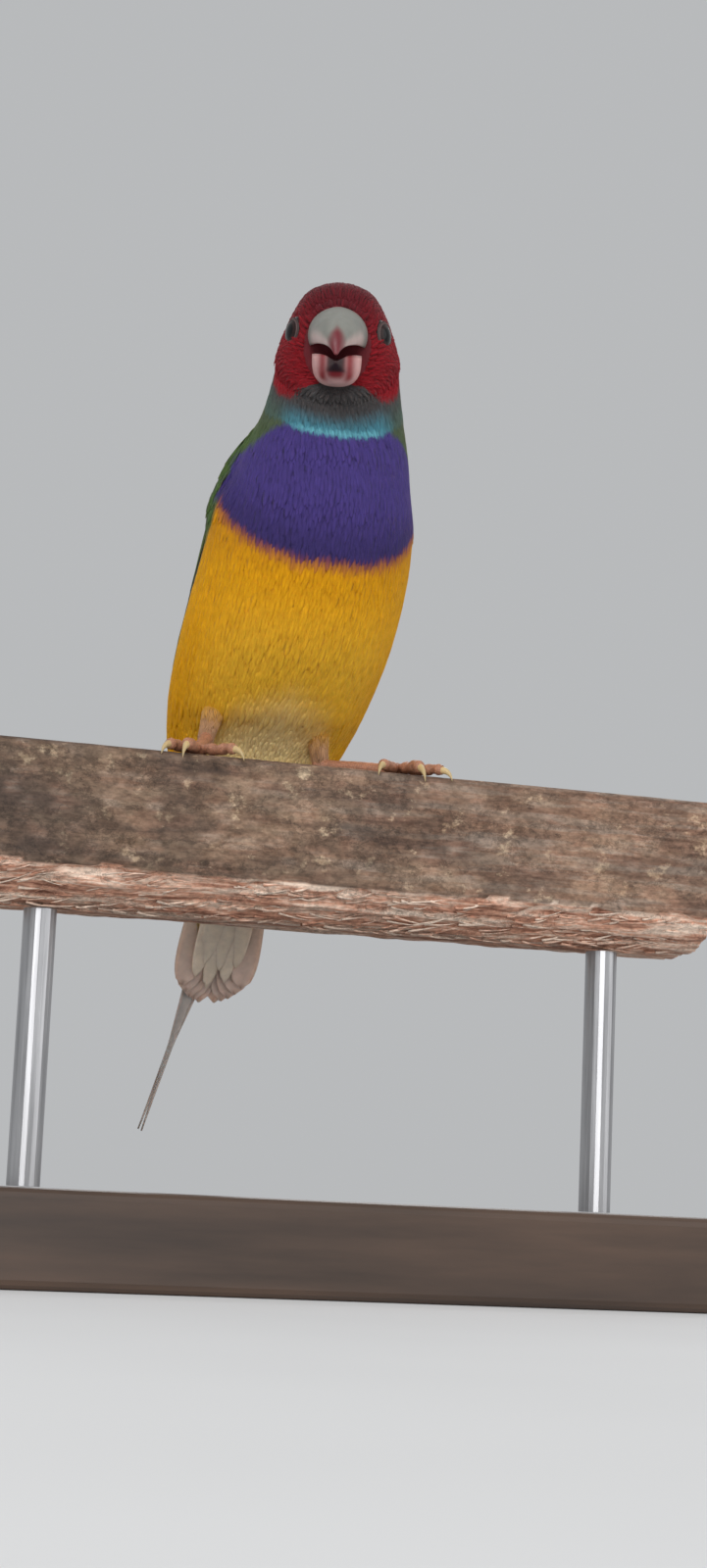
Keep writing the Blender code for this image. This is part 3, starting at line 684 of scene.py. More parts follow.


# Shades that the plumage's main colours run into, with painted light for the lower belly and painted shade
# for the bill's root.
SHADES = {
    name: linear(*shades)
    for name, shades in {
        "nape": (78, 88, 66),
        "rump": (120, 168, 190),
        "breast side": (204, 128, 12),
        "lit lower belly": (255, 190, 52),
        "breast foot": (58, 46, 100),
        "breast line": (150, 70, 60),
        "collar back": (76, 90, 74),
        "collar rim": (112, 184, 196),
        "crown": (98, 25, 33),
        "shaded bill's root": (106, 38, 44),
    }.items()
}


def on_edge(edge, degrees):
    """The ring number of a border at these degrees."""
    places, values = zip(*edge)
    return np.interp(degrees, places, values)


def fold(angle):
    """Degrees from the back's middle line, on either side."""
    return np.degrees(np.abs((angle + math.pi) % (2 * math.pi) - math.pi))


def laid(under, over, share):
    """One colour laid over another, by its share at each place."""
    return under + (np.asarray(over, float) - under) * share[..., None]


def marking(t, angle):
    """The plumage's colour at ring numbers t and angles in radians, with painted light low on the belly and
    painted shade at the bill's root.
    """
    c = finch_colours()
    t, angle = np.broadcast_arrays(np.asarray(t, float), np.asarray(angle, float))
    degrees = fold(angle)
    vent, flank, foot, top, collar, black, mask = (
        on_edge(edge, place)
        for edge, place in (
            (VENT_EDGE, degrees),
            (FLANK_EDGE, t),
            (BREAST_FOOT, degrees),
            (BREAST_TOP, degrees),
            (COLLAR_EDGE, degrees),
            (BLACK_EDGE, degrees),
            (MASK_EDGE, degrees),
        )
    )
    tone = laid(np.array(c.green), SHADES["nape"], eased(t, 7.6, 9.0) * eased(degrees, 60, 100))
    rump = (1 - eased(t, RUMP_EDGE - 0.3, RUMP_EDGE + 0.3)) * (1 - eased(degrees, 58, 72))
    tone = laid(tone, SHADES["rump"], rump)

    side = laid(np.array(c.yellow), SHADES["breast side"], eased(t, 5.8, 6.5) * 0.6)
    # Paler yellow low on the belly's underside: painted light.
    side = laid(side, SHADES["lit lower belly"], (1 - eased(t, 4.4, 6.0)) * eased(degrees, 96, 150) * 0.8)
    side = laid(side, c.vent, 1 - eased(t, vent - 0.5, vent + 0.9))
    tone = laid(tone, side, eased(degrees, flank - 4, flank + 3) * (1 - eased(t, 6.9, 7.15)))

    inside = between(t, foot - 0.1, foot + 0.02, top - 0.1, top + 0.14) * eased(degrees, 73, 78)
    line = between(t, foot - 0.2, foot - 0.1, foot - 0.02, foot + 0.06) * eased(degrees, 80, 86)
    purple = laid(np.array(c.purple), SHADES["breast foot"], 1 - eased(t, foot, foot + 0.8))
    tone = laid(tone, purple, inside)
    tone = laid(tone, SHADES["breast line"], line * 0.55)

    band = laid(np.array(c.collar), SHADES["collar back"], (1 - eased(degrees, 118, 146)) * 0.92)
    rim = between(t, collar - 0.06, collar + 0.04, collar + 0.08, collar + 0.24)
    band = laid(band, SHADES["collar rim"], rim * eased(degrees, 136, 152) * 0.7)
    tone = laid(tone, band, eased(t, collar - 0.06, collar + 0.05))
    tone = laid(tone, c.black, eased(t, black - 0.4, black + 0.4))
    face = laid(np.array(c.red), SHADES["crown"], (1 - eased(degrees, 20, 95)) * 0.95)
    tone = laid(tone, face, eased(t, mask - 0.08, mask + 0.1))
    # Darker red where the face meets the bill and on the skin's end seen in the open gape: the mouth's dark
    # red and painted shade.
    return laid(tone, SHADES["shaded bill's root"], eased(t, 14.8, 14.93))


# Skin and coat

ZONES = {"none": 0, "head": 1, "neck": 2, "breast": 3, "back": 4, "tail": 5, "shoulder": 6, "belly": 7}


# Where the plumage stands up or is drawn in: how far, the ring numbers between which it rises and falls,
# and the same in degrees from the back's middle line.
MOUNDS = (
    (2.1, (5.9, 7.1, 7.5, 8.9), (16, 44, 64, 86)),  # over the folded arm
    (0.85, (2.0, 3.4, 6.8, 7.6), (62, 76, 84, 116)),  # loose feathers over the wing's lower edge
    (0.45, (10.8, 12.2, 13.7, 14.7), (-2, -1, 45, 74)),  # raised feathers of the crown
    (-0.62, (10.2, 11.6, 12.5, 14.6), (30, 56, 66, 124)),  # the head's side above the cheek
)


def mound(t, degrees, height, rings, sides):
    """How far one of the mounds raises each place."""
    return height * between(t, *rings) * eased(degrees, *sides[:2]) * (1 - eased(degrees, *sides[2:]))


# How much thinner the coat is from the neck on, and at the bill.
NECK_THINNING, BILL_THINNING = 0.45, 0.9


def skin_place(t, angle):
    """Points of the skin: the body's form with its mounds, lower by the coat's depth."""
    depth = finch_sizes().coat_depth * (1 - NECK_THINNING * eased(t, 8.6, 10.5))
    depth = depth * (1 - eased(t, 14.4, BILL_RING) * BILL_THINNING)
    degrees = fold(angle)
    return form_place(t, angle, sum(mound(t, degrees, *row) for row in MOUNDS) - depth)


def zone_of(t, degrees):
    """The coat's zone at one place on the skin."""
    if t > 10.3:
        return ZONES["head"]
    if t > 8.5:
        return ZONES["neck"]
    if t < 2.7:
        return ZONES["tail"]
    if t > 6.5 and 18 < degrees < 90:
        return ZONES["shoulder"]
    if 30 < degrees < 66:
        return ZONES["none"]
    if degrees <= 60:
        return ZONES["back"]
    return ZONES["breast"] if t > 5.6 else ZONES["belly"]


SKIN_SIDES = 112
# Where the plumage turns away from an eye: how strongly, and at what distance and width.
EYE_PART, EYE_PART_REACH, EYE_PART_WIDTH = 1.3, 2.2, 0.8


def make_skin(look):
    """The body's skin, with the colours, zones and lie that its coat grows from."""
    rows = np.concatenate((np.linspace(0.0, 9.0, 120, endpoint=False), np.linspace(9.0, BILL_RING, 90)))
    t, angle = np.meshgrid(rows, once_round(SKIN_SIDES), indexing="ij")
    places = skin_place(t, angle).reshape(-1, 3)
    skin = new_piece("body_skin", places, tube_faces(len(rows), SKIN_SIDES), look)
    mesh = skin.data
    # The skin takes the plumage's colours, a little darker: painted shade under the coat.
    put_colour(mesh, "tint", marking(t, angle).reshape(-1, 3) * 0.92)
    lie = unit(form_surface(t - 0.05, angle) - form_surface(t + 0.05, angle)).reshape(-1, 3)
    eyes = [eye_centre(side)[0] for side in (-1, 1)]
    for eye in eyes:
        away = places - eye
        reach = np.linalg.norm(away, axis=-1, keepdims=True)
        lie = lie + away / reach * EYE_PART * hump(reach, EYE_PART_WIDTH, EYE_PART_REACH)
    put_vector(mesh, "lie", unit(lie))
    put_vector(mesh, "seat", np.stack((np.cos(angle), np.sin(angle), t), axis=-1).reshape(-1, 3))
    put_vector(mesh, "vane", np.zeros((len(mesh.vertices), 3)))
    corners = corner_points(mesh)
    spots = unwrap(angle / (2 * math.pi), t / BILL_RING).reshape(-1, 2)[corners]
    degrees = fold(angle).ravel()
    zones = np.zeros(len(mesh.polygons), np.int32)
    for k, face in enumerate(mesh.polygons):
        if face.loop_total > 4:
            continue
        corner = slice(face.loop_start, face.loop_start + face.loop_total)
        if np.ptp(spots[corner, 0]) > 0.5:
            spots[corner, 0] += np.where(spots[corner, 0] < 0.5, MAP_SPAN, 0.0)
        first = corners[face.loop_start]
        if min(np.linalg.norm(places[first] - eye) for eye in eyes) > EYE_RADIUS - 0.05:
            zones[k] = zone_of(t.ravel()[first], degrees[first])
    put_map(mesh, spots)
    put_zones(mesh, zones)
    return dressed(skin, ("torso", "neck", "head"))


def leaf_pattern(name, droop, point):
    """A small feather of unit length and width, root at zero, lying along +Y and bent down by droop."""
    u = np.array((0.0, 0.18, 0.42, 0.66, 0.86, 1.0))
    half = 0.5 * (np.minimum(1.0, 0.34 + u * 2.4) * np.clip(1 - u**point, 0, 1) ** 0.6 + 0.03)
    points, local = [], []
    for h, y, fall in zip(half, u, -droop * u**2):
        edge, low = y - 0.05 * y, fall - 0.008
        points += [(-h, edge, low), (0.0, y, fall + 0.024), (h, edge, low), (0.0, y, fall - 0.016)]
        local += [(-1, y, 0), (0, y, 0), (1, y, 0), (0, y, 0)]
    return pattern_object(name, points, local, tube_faces(len(u), 4))


WISP_SPLAY, WISP_HALF = 0.16, 0.17
# The barbs' sides with their lengths, and places along a barb with its thickness there.
WISP_BARBS = ((-1, 0.84), (0, 1.0), (1, 0.9))
BARB_STEPS = ((0.0, 0.9), (0.4, 1.0), (0.75, 0.7), (1.0, 0.12))


def wisp_pattern(name, droop):
    """Three fine barbs of unit length that start at one root and end in points."""
    points, local, faces = [], [], []
    for side, reach in WISP_BARBS:
        faces += [tuple(len(points) + k for k in face) for face in tube_faces(len(BARB_STEPS), 3)]
        for u, thick in BARB_STEPS:
            y = u * reach
            middle = side * (WISP_SPLAY + WISP_SPLAY * u**1.3)
            half = WISP_HALF * thick
            for across, lift in ((-half, -0.006), (0.0, 0.02 * thick), (half, -0.006)):
                points.append((middle + across, y, -droop * y**2 + lift))
                local.append((middle + across, y, 0))
    return pattern_object(name, points, local, faces)


def pattern_object(name, points, local, faces):
    """A feather to be set over a skin, with each point's place on its vane."""
    made = new_piece(name, points, faces, None)
    put_vector(made.data, "vane", local)
    return made


def enabled(sockets):
    """The sockets that a node uses with its present settings."""
    return [socket for socket in sockets if socket.enabled]


def coat_tree():
    """Geometry nodes that set small feathers over one zone of a skin, along its lie."""
    tree = bpy.data.node_groups.new("coat", "GeometryNodeTree")
    face = tree.interface
    face.new_socket("Geometry", in_out="INPUT", socket_type="NodeSocketGeometry")
    face.new_socket("Geometry", in_out="OUTPUT", socket_type="NodeSocketGeometry")
    for name, kind in (
        ("Feather", "Object"),
        ("Material", "Material"),
        ("Zone", "Int"),
        ("Spacing", "Float"),
        ("Length", "Float"),
        ("Width", "Float"),
        ("Rise", "Float"),
        ("Ruffle", "Float"),
        ("Seed", "Int"),
    ):
        face.new_socket(name, in_out="INPUT", socket_type="NodeSocket" + kind)
    given = node(tree, "NodeGroupInput").outputs
    result = node(tree, "NodeGroupOutput")

    def named(name, kind):
        made = node(tree, "GeometryNodeInputNamedAttribute", {"Name": name}, data_type=kind)
        return next(socket for socket in enabled(made.outputs) if socket.name == "Attribute")

    def drawn(kind, low, high):
        made = node(tree, "FunctionNodeRandomValue", {"Seed": given["Seed"]}, data_type=kind)
        least, most = enabled(made.inputs)[:2]
        least.default_value, most.default_value = low, high
        return enabled(made.outputs)[0]

    here = node(tree, "FunctionNodeCompare", data_type="INT", operation="EQUAL")
    for socket, value in zip(enabled(here.inputs), (named("zone", "INT"), given["Zone"])):
        give(tree, socket, value)
    dense = worked(tree, "MULTIPLY", worked(tree, "POWER", given["Spacing"], -2.0), 3.0)
    spread = node(tree, "GeometryNodeDistributePointsOnFaces", distribute_method="POISSON")
    for name, value in (
        ("Mesh", given["Geometry"]),
        ("Selection", here.outputs[0]),
        ("Distance Min", given["Spacing"]),
        ("Density Max", dense),
        ("Seed", given["Seed"]),
    ):
        give(tree, spread.inputs[name], value)

    facing = node(
        tree,
        "FunctionNodeAxesToRotation",
        {"Primary Axis": spread.outputs["Normal"], "Secondary Axis": named("lie", "FLOAT_VECTOR")},
        primary_axis="Z",
        secondary_axis="Y",
    )
    sway = drawn("FLOAT_VECTOR", (-0.35, -0.6, -1.0), (0.35, 0.6, 1.0))
    ruffled = moved(tree, "SCALE", {0: sway, "Scale": given["Ruffle"]})
    rise = node(tree, "ShaderNodeCombineXYZ", {"X": given["Rise"]}).outputs[0]
    tilt = moved(tree, "ADD", {0: ruffled, 1: rise})
    bent = node(tree, "FunctionNodeEulerToRotation", {0: tilt}).outputs[0]
    turns = {0: facing.outputs[0], 1: bent}
    placed = node(tree, "FunctionNodeRotateRotation", turns, rotation_space="LOCAL")

    shape = {"X": given["Width"], "Y": given["Length"], "Z": given["Length"]}
    shape = node(tree, "ShaderNodeCombineXYZ", shape).outputs[0]
    grown = moved(tree, "SCALE", {0: shape, "Scale": drawn("FLOAT", 0.84, 1.14)})

    feather = node(tree, "GeometryNodeObjectInfo", {"Object": given["Feather"]})
    instances = node(tree, "GeometryNodeInstanceOnPoints", {
        "Points": spread.outputs["Points"],
        "Instance": feather.outputs["Geometry"],
        "Rotation": placed.outputs[0],
        "Scale": grown,
    })
    real = node(tree, "GeometryNodeRealizeInstances", {0: instances.outputs[0]})
    dressing = {"Geometry": real.outputs[0], "Material": given["Material"]}
    finish = node(tree, "GeometryNodeSetMaterial", dressing)
    give(tree, result.inputs[0], finish.outputs[0])
    return tree


def grow_coat(name, skin, tree, feather, look, values, spread, toned):
    """A plain mesh of the coat that the tree sets over the skin, toned giving its colours and places."""
    holder = bpy.data.objects.new(name + "_holder", skin.data)
    bpy.context.scene.collection.objects.link(holder)
    grow = holder.modifiers.new("coat", "NODES")
    grow.node_group = tree
    given = {item.name: item.identifier for item in tree.interface.items_tree if item.in_out == "INPUT"}
    for key, value in {"Feather": feather, "Material": look, **values}.items():
        grow[given[key]] = value
    graph = bpy.context.evaluated_depsgraph_get()
    mesh = bpy.data.meshes.new_from_object(
        holder.evaluated_get(graph), preserve_all_data_layers=True, depsgraph=graph
    )
    bpy.data.objects.remove(holder)
    mesh.name = name
    coat = bpy.data.objects.new(name, mesh)
    bpy.context.scene.collection.objects.link(coat)
    count = len(mesh.vertices)
    seat, vane = (np.empty(count * 3, np.float32) for _ in range(2))
    mesh.attributes["seat"].data.foreach_get("vector", seat)
    mesh.attributes["vane"].data.foreach_get("vector", vane)
    seat, vane = seat.reshape(-1, 3), vane.reshape(-1, 3)
    per_feather = len(feather.data.vertices)
    tints, spots = toned(seat, vane, values["Length"])
    draw = np.random.default_rng(values["Seed"])
    own = np.repeat(1 + draw.normal(0, spread, count // per_feather), per_feather)
    # Each feather darker towards its root, where the feathers over it lie: painted shade; own is each
    # feather's random tone.
    tints = tints * (own * (0.9 + 0.13 * vane[:, 1]))[:, None]
    for spare in [a.name for a in mesh.attributes if a.name in ("lie", "seat", "tint", "zone")]:
        mesh.attributes.remove(mesh.attributes[spare])
    put_colour(mesh, "tint", tints)
    while mesh.uv_layers:
        mesh.uv_layers.remove(mesh.uv_layers[0])
    spots = spots + vane[:, :2] * (0.0015, 0.003)
    put_map(mesh, spots.astype(np.float32)[corner_points(mesh)])
    mesh.shade_smooth()
    return coat


def body_tones(seat, vane, length):
    """Colours and bake places of body feathers, from their seats and each point's place on its vane."""
    angle = np.arctan2(seat[:, 1], seat[:, 0])
    t = seat[:, 2]
    step = np.linalg.norm(form_surface(t + 0.05, angle) - form_surface(t - 0.05, angle), axis=-1) / 0.1
    down = length * (0.4 + 0.5 * vane[:, 1]) / np.maximum(step, 0.6)
    spots = unwrap((angle / (2 * math.pi)) % 1.0, t / BILL_RING)
    return marking(np.maximum(t - down, 0.0), angle), spots


COATS = (
    # name, zone, form, spacing, length, width, rise, ruffle, droop, shade spread
    ("coat_head", "head", "leaf", 1.0, 1.5, 0.6, 5.0, 0.08, 0.09, 0.05),
    ("coat_head_fine", "head", "wisp", 0.9, 1.3, 0.55, 7.0, 0.12, 0.1, 0.05),
    ("coat_neck", "neck", "leaf", 0.95, 2.3, 0.9, 4.0, 0.06, 0.09, 0.04),
    ("coat_neck_fine", "neck", "wisp", 0.82, 1.9, 0.65, 5.5, 0.09, 0.1, 0.04),
    ("coat_breast", "breast", "leaf", 0.95, 2.7, 1.15, 3.6, 0.035, 0.085, 0.022),
    ("coat_breast_fine", "breast", "wisp", 0.9, 2.2, 0.66, 4.0, 0.05, 0.085, 0.025),
    ("coat_belly", "belly", "leaf", 0.92, 3.3, 1.1, 3.4, 0.035, 0.11, 0.022),
    ("coat_belly_fine", "belly", "wisp", 0.9, 2.8, 0.7, 4.0, 0.05, 0.115, 0.025),
    ("coat_back", "back", "leaf", 1.0, 3.8, 1.9, 5.0, 0.06, 0.13, 0.05),
    ("coat_shoulder", "shoulder", "leaf", 1.0, 2.9, 1.6, 5.0, 0.06, 0.12, 0.05),
    ("coat_tail", "tail", "leaf", 1.0, 4.6, 1.7, 3.4, 0.07, 0.06, 0.04),
    ("coat_tail_fine", "tail", "wisp", 1.0, 4.2, 1.2, 4.5, 0.09, 0.06, 0.04),
)


def make_coats(skin, look):
    """Grows every coat of the table on the skin."""
    sizes = finch_sizes()
    tree = coat_tree()
    for number, row in enumerate(COATS):
        name, zone, form, share, length, width, rise, ruffle, droop, spread = row
        if form == "leaf":
            point = 4.5 if zone in ("back", "shoulder") else 2.8
            pattern = leaf_pattern(name + "_pattern", droop, point)
        else:
            pattern = wisp_pattern(name + "_pattern", droop)
        values = {
            "Zone": ZONES[zone],
            "Spacing": getattr(sizes, zone + "_spacing") * share * MM,
            "Length": length,
            "Width": width,
            "Rise": math.radians(rise),
            "Ruffle": ruffle,
            "Seed": sizes.seed + number,
        }
        coat = grow_coat(name, skin, tree, pattern, look, values, spread, body_tones)
        bpy.data.objects.remove(pattern)
        dressed(coat, ())


# Eyes and lids

LID_REACH = 1.68
# Folds of the bare ring round an eye: reach past the first, height, thickness and shade.
LID_FOLDS = ((0.0, 0.05, 0.12, 1.0), (0.19, -0.1, 0.15, 0.45))
PUPIL_TONE, IRIS_TONE, LID_TONE = linear(8, 7, 8), linear(40, 26, 25), linear(88, 66, 64)
PUPIL_ANGLE = 0.34


def ring_faces(around, across):
    """Faces of a closed ring of small rings."""
    faces = []
    for i in range(around):
        for j in range(across):
            k, n = (i + 1) % around, (j + 1) % across
            faces.append((i * across + j, k * across + j, k * across + n, i * across + n))
    return faces


def make_eyes(look, ring_look):
    """Both eyeballs and the bare rings round them."""
    for side, word in ((-1, "right"), (1, "left")):
        centre, out = eye_centre(side)
        axis = np.array(Vector(out).to_track_quat("Z", "Y").to_matrix())
        p, a = np.meshgrid(np.linspace(0.02, math.pi - 0.02, 40), once_round(48), indexing="ij")
        ball = np.stack((np.sin(p) * np.cos(a), np.sin(p) * np.sin(a), np.cos(p)), axis=-1)
        ball = ball * (EYE_RADIUS + 0.02)
        iris = np.array(IRIS_TONE) * (1 - 0.6 * eased(p, 0.5, 0.72))[..., None]
        eye = Batch()
        eye.add_tube(ball @ axis.T + centre, np.where(p[..., None] < PUPIL_ANGLE, PUPIL_TONE, iris))
        dressed(eye.make("eyeball_" + word, look, mapped=False), ("eye_" + word,))
        lids = Batch()
        g, h = np.meshgrid(once_round(72), once_round(12), indexing="ij")
        for number, (reach_at, height, thick, dim) in enumerate(LID_FOLDS):
            bead = 1 + 0.1 * np.abs(np.sin(g * 21 + number)) * eased(np.sin(h), -0.2, 0.8)
            reach = LID_REACH + reach_at - 0.12 * np.abs(np.cos(g)) + thick * bead * np.cos(h)
            lift = math.sqrt(EYE_RADIUS**2 - LID_REACH**2) + height + thick * bead * np.sin(h)
            fold_points = np.stack((reach * np.cos(g), reach * np.sin(g), lift), axis=-1)
            # Each fold lighter on its crest and darker on its flanks and underside: painted light and shade.
            tone = np.array(LID_TONE) * (0.5 + 0.6 * eased(np.sin(h), -0.2, 0.9))[..., None] * dim
            lids.add(fold_points @ axis.T + centre, ring_faces(*g.shape), tone.reshape(-1, 3))
        dressed(lids.make("lids_" + word, ring_look, mapped=False), ())


# Bill

BILL_BASE = 4.6
UPPER_LENGTH, UPPER_HEIGHT, UPPER_HALF_WIDTH, UPPER_TIP_DROP, UPPER_TUCK = 10.4, 5.5, 4.1, 1.4, 24.0
LOWER_LENGTH, LOWER_DEPTH, LOWER_HALF_WIDTH, LOWER_SQUARENESS = 8.8, 4.65, 3.4, 0.66
TIP_HALF_WIDTH = 0.22
NOSTRIL_RADII = (0.08, 0.24, 0.33, 0.36, 0.33, 0.24, 0.08)


def bill_half(upper):
    """Rings of one half of the bill, each an arch from edge to edge and its hollow, with their tints."""
    steps = np.concatenate((np.linspace(-0.08, 0.9, 40), np.linspace(0.915, 1.0, 9)))
    length = UPPER_LENGTH if upper else LOWER_LENGTH
    tuck = math.radians(UPPER_TUCK if upper else 0.0)
    square = 1.0 if upper else LOWER_SQUARENESS
    arch = np.linspace(-tuck, math.pi + tuck, 45)
    inner = np.linspace(-0.84, 0.84, 19)
    rise = np.maximum((np.sin(arch) + math.sin(tuck)) / (1 + math.sin(tuck)), 0) ** square
    spread = np.sign(np.cos(arch)) * np.abs(np.cos(arch)) ** square
    rings, tints = [], []
    for u in steps:
        v = max(u, 0.0)
        along = BILL_BASE + 0.3 + u * (length - 0.3)
        if upper:
            low = 0.15 - UPPER_TIP_DROP * v**10
            top = low + 0.3 + (UPPER_HEIGHT - 0.45) * (1 - v**1.75) ** 0.85
            half = TIP_HALF_WIDTH + (UPPER_HALF_WIDTH - TIP_HALF_WIDTH) * (1 - v**1.6) ** 0.9
            ridge = 1 + 0.012 * hump(arch, 0.25, math.pi / 2)
            bite = 0.16 * math.exp(-(((v - 0.5) / 0.22) ** 2))
        else:
            low = -0.95 - 0.05 * v - 1.0 * v**5
            top = low - 0.3 - (LOWER_DEPTH - 0.75) * (1 - v**1.8) ** 0.85
            half = TIP_HALF_WIDTH + (LOWER_HALF_WIDTH - TIP_HALF_WIDTH) * (1 - v**1.6) ** 0.9
            ridge = 1 + 0.02 * hump(arch, 0.3, math.pi / 2)
            bite = 0.0
        up = low + (top - low) * rise * ridge + bite * (1 - rise) ** 6
        across = half * spread
        depth = (0.34 if upper else 0.5) * eased(1 - v, 0.0, 0.35)
        inner_up = low + (top - low) * depth * (1 - (inner / 0.98) ** 6) + bite
        inner_across = half * inner
        ups, acrosses = np.concatenate((up, inner_up)), np.concatenate((across, inner_across))
        rings.append(head_space(np.full(len(ups), along), ups, acrosses))
        tints.append(np.concatenate(bill_tones(upper, v, across, up, rise, inner)))
    return np.array(rings), np.array(tints)


def bill_tones(upper, v, across, up, rise, inner):
    """Colours of the outside and the hollow of one section, v being its share of the way to the tip, with
    painted shade and highlight.
    """
    rosy = np.array(linear(106, 16, 30) if upper else linear(144, 34, 40))
    if upper:
        # The upper bill a little darker down its sides than on its top, and paler along its lower edges:
        # painted shade and painted highlight.
        pale = np.array(linear(128, 128, 121)) * (0.86 + 0.14 * rise)[:, None]
        edge = (1 - eased(rise, 0.18, 0.62)) * eased(v, 0.15, 0.45) * 0.85
        pale = pale + (np.array(linear(196, 172, 166)) - pale) * edge[:, None]
        width = 0.3 + 9.0 * max(v - 0.76, 0.0)
        share = hump(across, width) * eased(v, 0.7, 0.86)
        # The hollow darker towards the root, deep in the mouth: painted shade.
        hollow = np.array(linear(92, 42, 42)) * (0.4 + 0.6 * v)
    else:
        # The lower bill a little darker towards its keel, underneath: painted shade.
        pale = np.array(linear(232, 184, 180)) * (0.88 + 0.12 * (1 - rise))[:, None]
        strips = hump(np.abs(across), 0.72, 1.85) * eased(v, 0.2, 0.45)
        middle = np.exp(-((across / 1.5) ** 4)) * eased(v, 0.4, 0.65)
        share = np.maximum(strips, middle) * (1 - 0.7 * eased(-up, 4.4, 5.2))
        # A dark patch on the lower bill's rim below the upper tip: the upper tip's shadow, painted.
        tip_shadow = np.exp(-((across / 1.3) ** 6)) * eased(v, 0.5, 0.62) * eased(up, -3.6, -3.2)
        # The hollow darker towards the root, deep in the mouth: painted shade.
        hollow = np.array(linear(64, 22, 24)) * (0.1 + 0.5 * eased(v, 0.2, 1.0))
    outside = pale + (rosy - pale) * share[:, None]
    if not upper:
        outside = outside + (np.array(linear(46, 14, 16)) - outside) * tip_shadow[:, None]
    return outside, np.broadcast_to(hollow, (len(inner), 3))


def make_bill(look):
    """Both halves of the bill, with rims round the nostrils, and the tongue."""
    for upper, word in ((True, "upper"), (False, "lower")):
        half = Batch()
        half.add_tube(*bill_half(upper))
        if upper:
            for side in (-1, 1):
                ends = [BILL_BASE + 0.62, BILL_BASE + 1.25]
                path = head_space(ends, [3.7, 3.55], [side * 3.0, side * 3.02])
                rim = tube_points(smooth_path(path, len(NOSTRIL_RADII)), NOSTRIL_RADII, 14)
                half.add_tube(rim, linear(52, 40, 38))
        dressed(half.make(f"bill_{word}_horn", look, mapped=False), ("bill_" + word,))
    u = np.linspace(0, 1, 16)
    path = head_space(BILL_BASE + 0.6 + 5.4 * u, -2.0 - 1.5 * u + 0.2 * np.sin(u * 3), np.zeros(len(u)))
    tongue = Batch()
    # The tongue darker towards its root, deep in the mouth: painted shade.
    tones = np.array(linear(150, 84, 80)) * (0.2 + 0.8 * u)[:, None]
    tongue.add_tube(tube_points(path, 1.1 * (1 - u**3) ** 0.5 + 0.06, 18, 0.45), tones)
    dressed(tongue.make("tongue", look, mapped=False), ())


# Wings

# Tier: name, count, root and tip of the outermost vane, root and tip of the innermost, half widths
# of both, height over the body, tilt, and how its tip is drawn in.
WING_TIERS = (
    ("primary", 9, (6.2, 77), (0.6, 53), (5.6, 60), (2.5, 30), 1.9, 2.2, 0.5, 0.2, 3.2),
    ("secondary", 8, (6.3, 70), (3.6, 50), (6.5, 32), (2.9, 14), 2.3, 2.8, 0.95, 0.24, 4.5),
    ("greater_covert", 10, (7.1, 74), (5.4, 67), (7.3, 30), (4.9, 17), 1.7, 2.2, 1.28, 0.2, 5.0),
    ("median_covert", 10, (7.6, 72), (6.3, 68), (7.7, 30), (5.9, 20), 1.6, 2.0, 1.55, 0.18, 5.0),
)


def vane_grid(rows=13, columns=9):
    """Places on a vane: from 0 to 1 along it and from -1 to 1 across it."""
    return np.meshgrid(np.linspace(0, 1, rows), np.linspace(-1, 1, columns), indexing="ij")


def vane_outline(u, point):
    """A vane's half width along it, narrow at the root and drawn in at the tip."""
    return np.minimum(1.0, 0.4 + u * 3.0) * np.clip(1 - u**point, 0, 1) ** 0.55 + 0.03


def laid_vane(side, root, tip, half, lift, tilt, point):
    """High and low points of one vane that follows the body's form."""
    u, x = vane_grid()
    t = root[0] + (tip[0] - root[0]) * u
    angle = np.radians(root[1] + (tip[1] - root[1]) * u)
    span = np.linalg.norm(form_surface(t, angle + 0.05) - form_surface(t, angle - 0.05), axis=-1) / 0.1
    around = side * (angle + x * half * vane_outline(u, point) / span)
    rise = np.maximum(lift * (0.5 + 0.5 * eased(u, 0.0, 0.3)) + tilt * x, 0.32)
    shaft = 0.09 * hump(x, 0.1) * (1 - 0.6 * u)
    arch = 0.12 * (1 - x**2)
    high = form_place(t, around, rise + arch + shaft + 0.09)
    low = form_place(t, around, rise + arch - 0.07 * (1 - 0.7 * x**2))
    return high, low, u, x


# Colours of each tier's vanes: along the shaft and along the edge.
WING_TONES = {
    "primary": ((42, 36, 32), (84, 88, 48)),
    "secondary": ((60, 74, 42), (78, 98, 50)),
    "greater_covert": ((66, 84, 44), (78, 100, 50)),
    "median_covert": ((68, 88, 46), (80, 102, 52)),
}


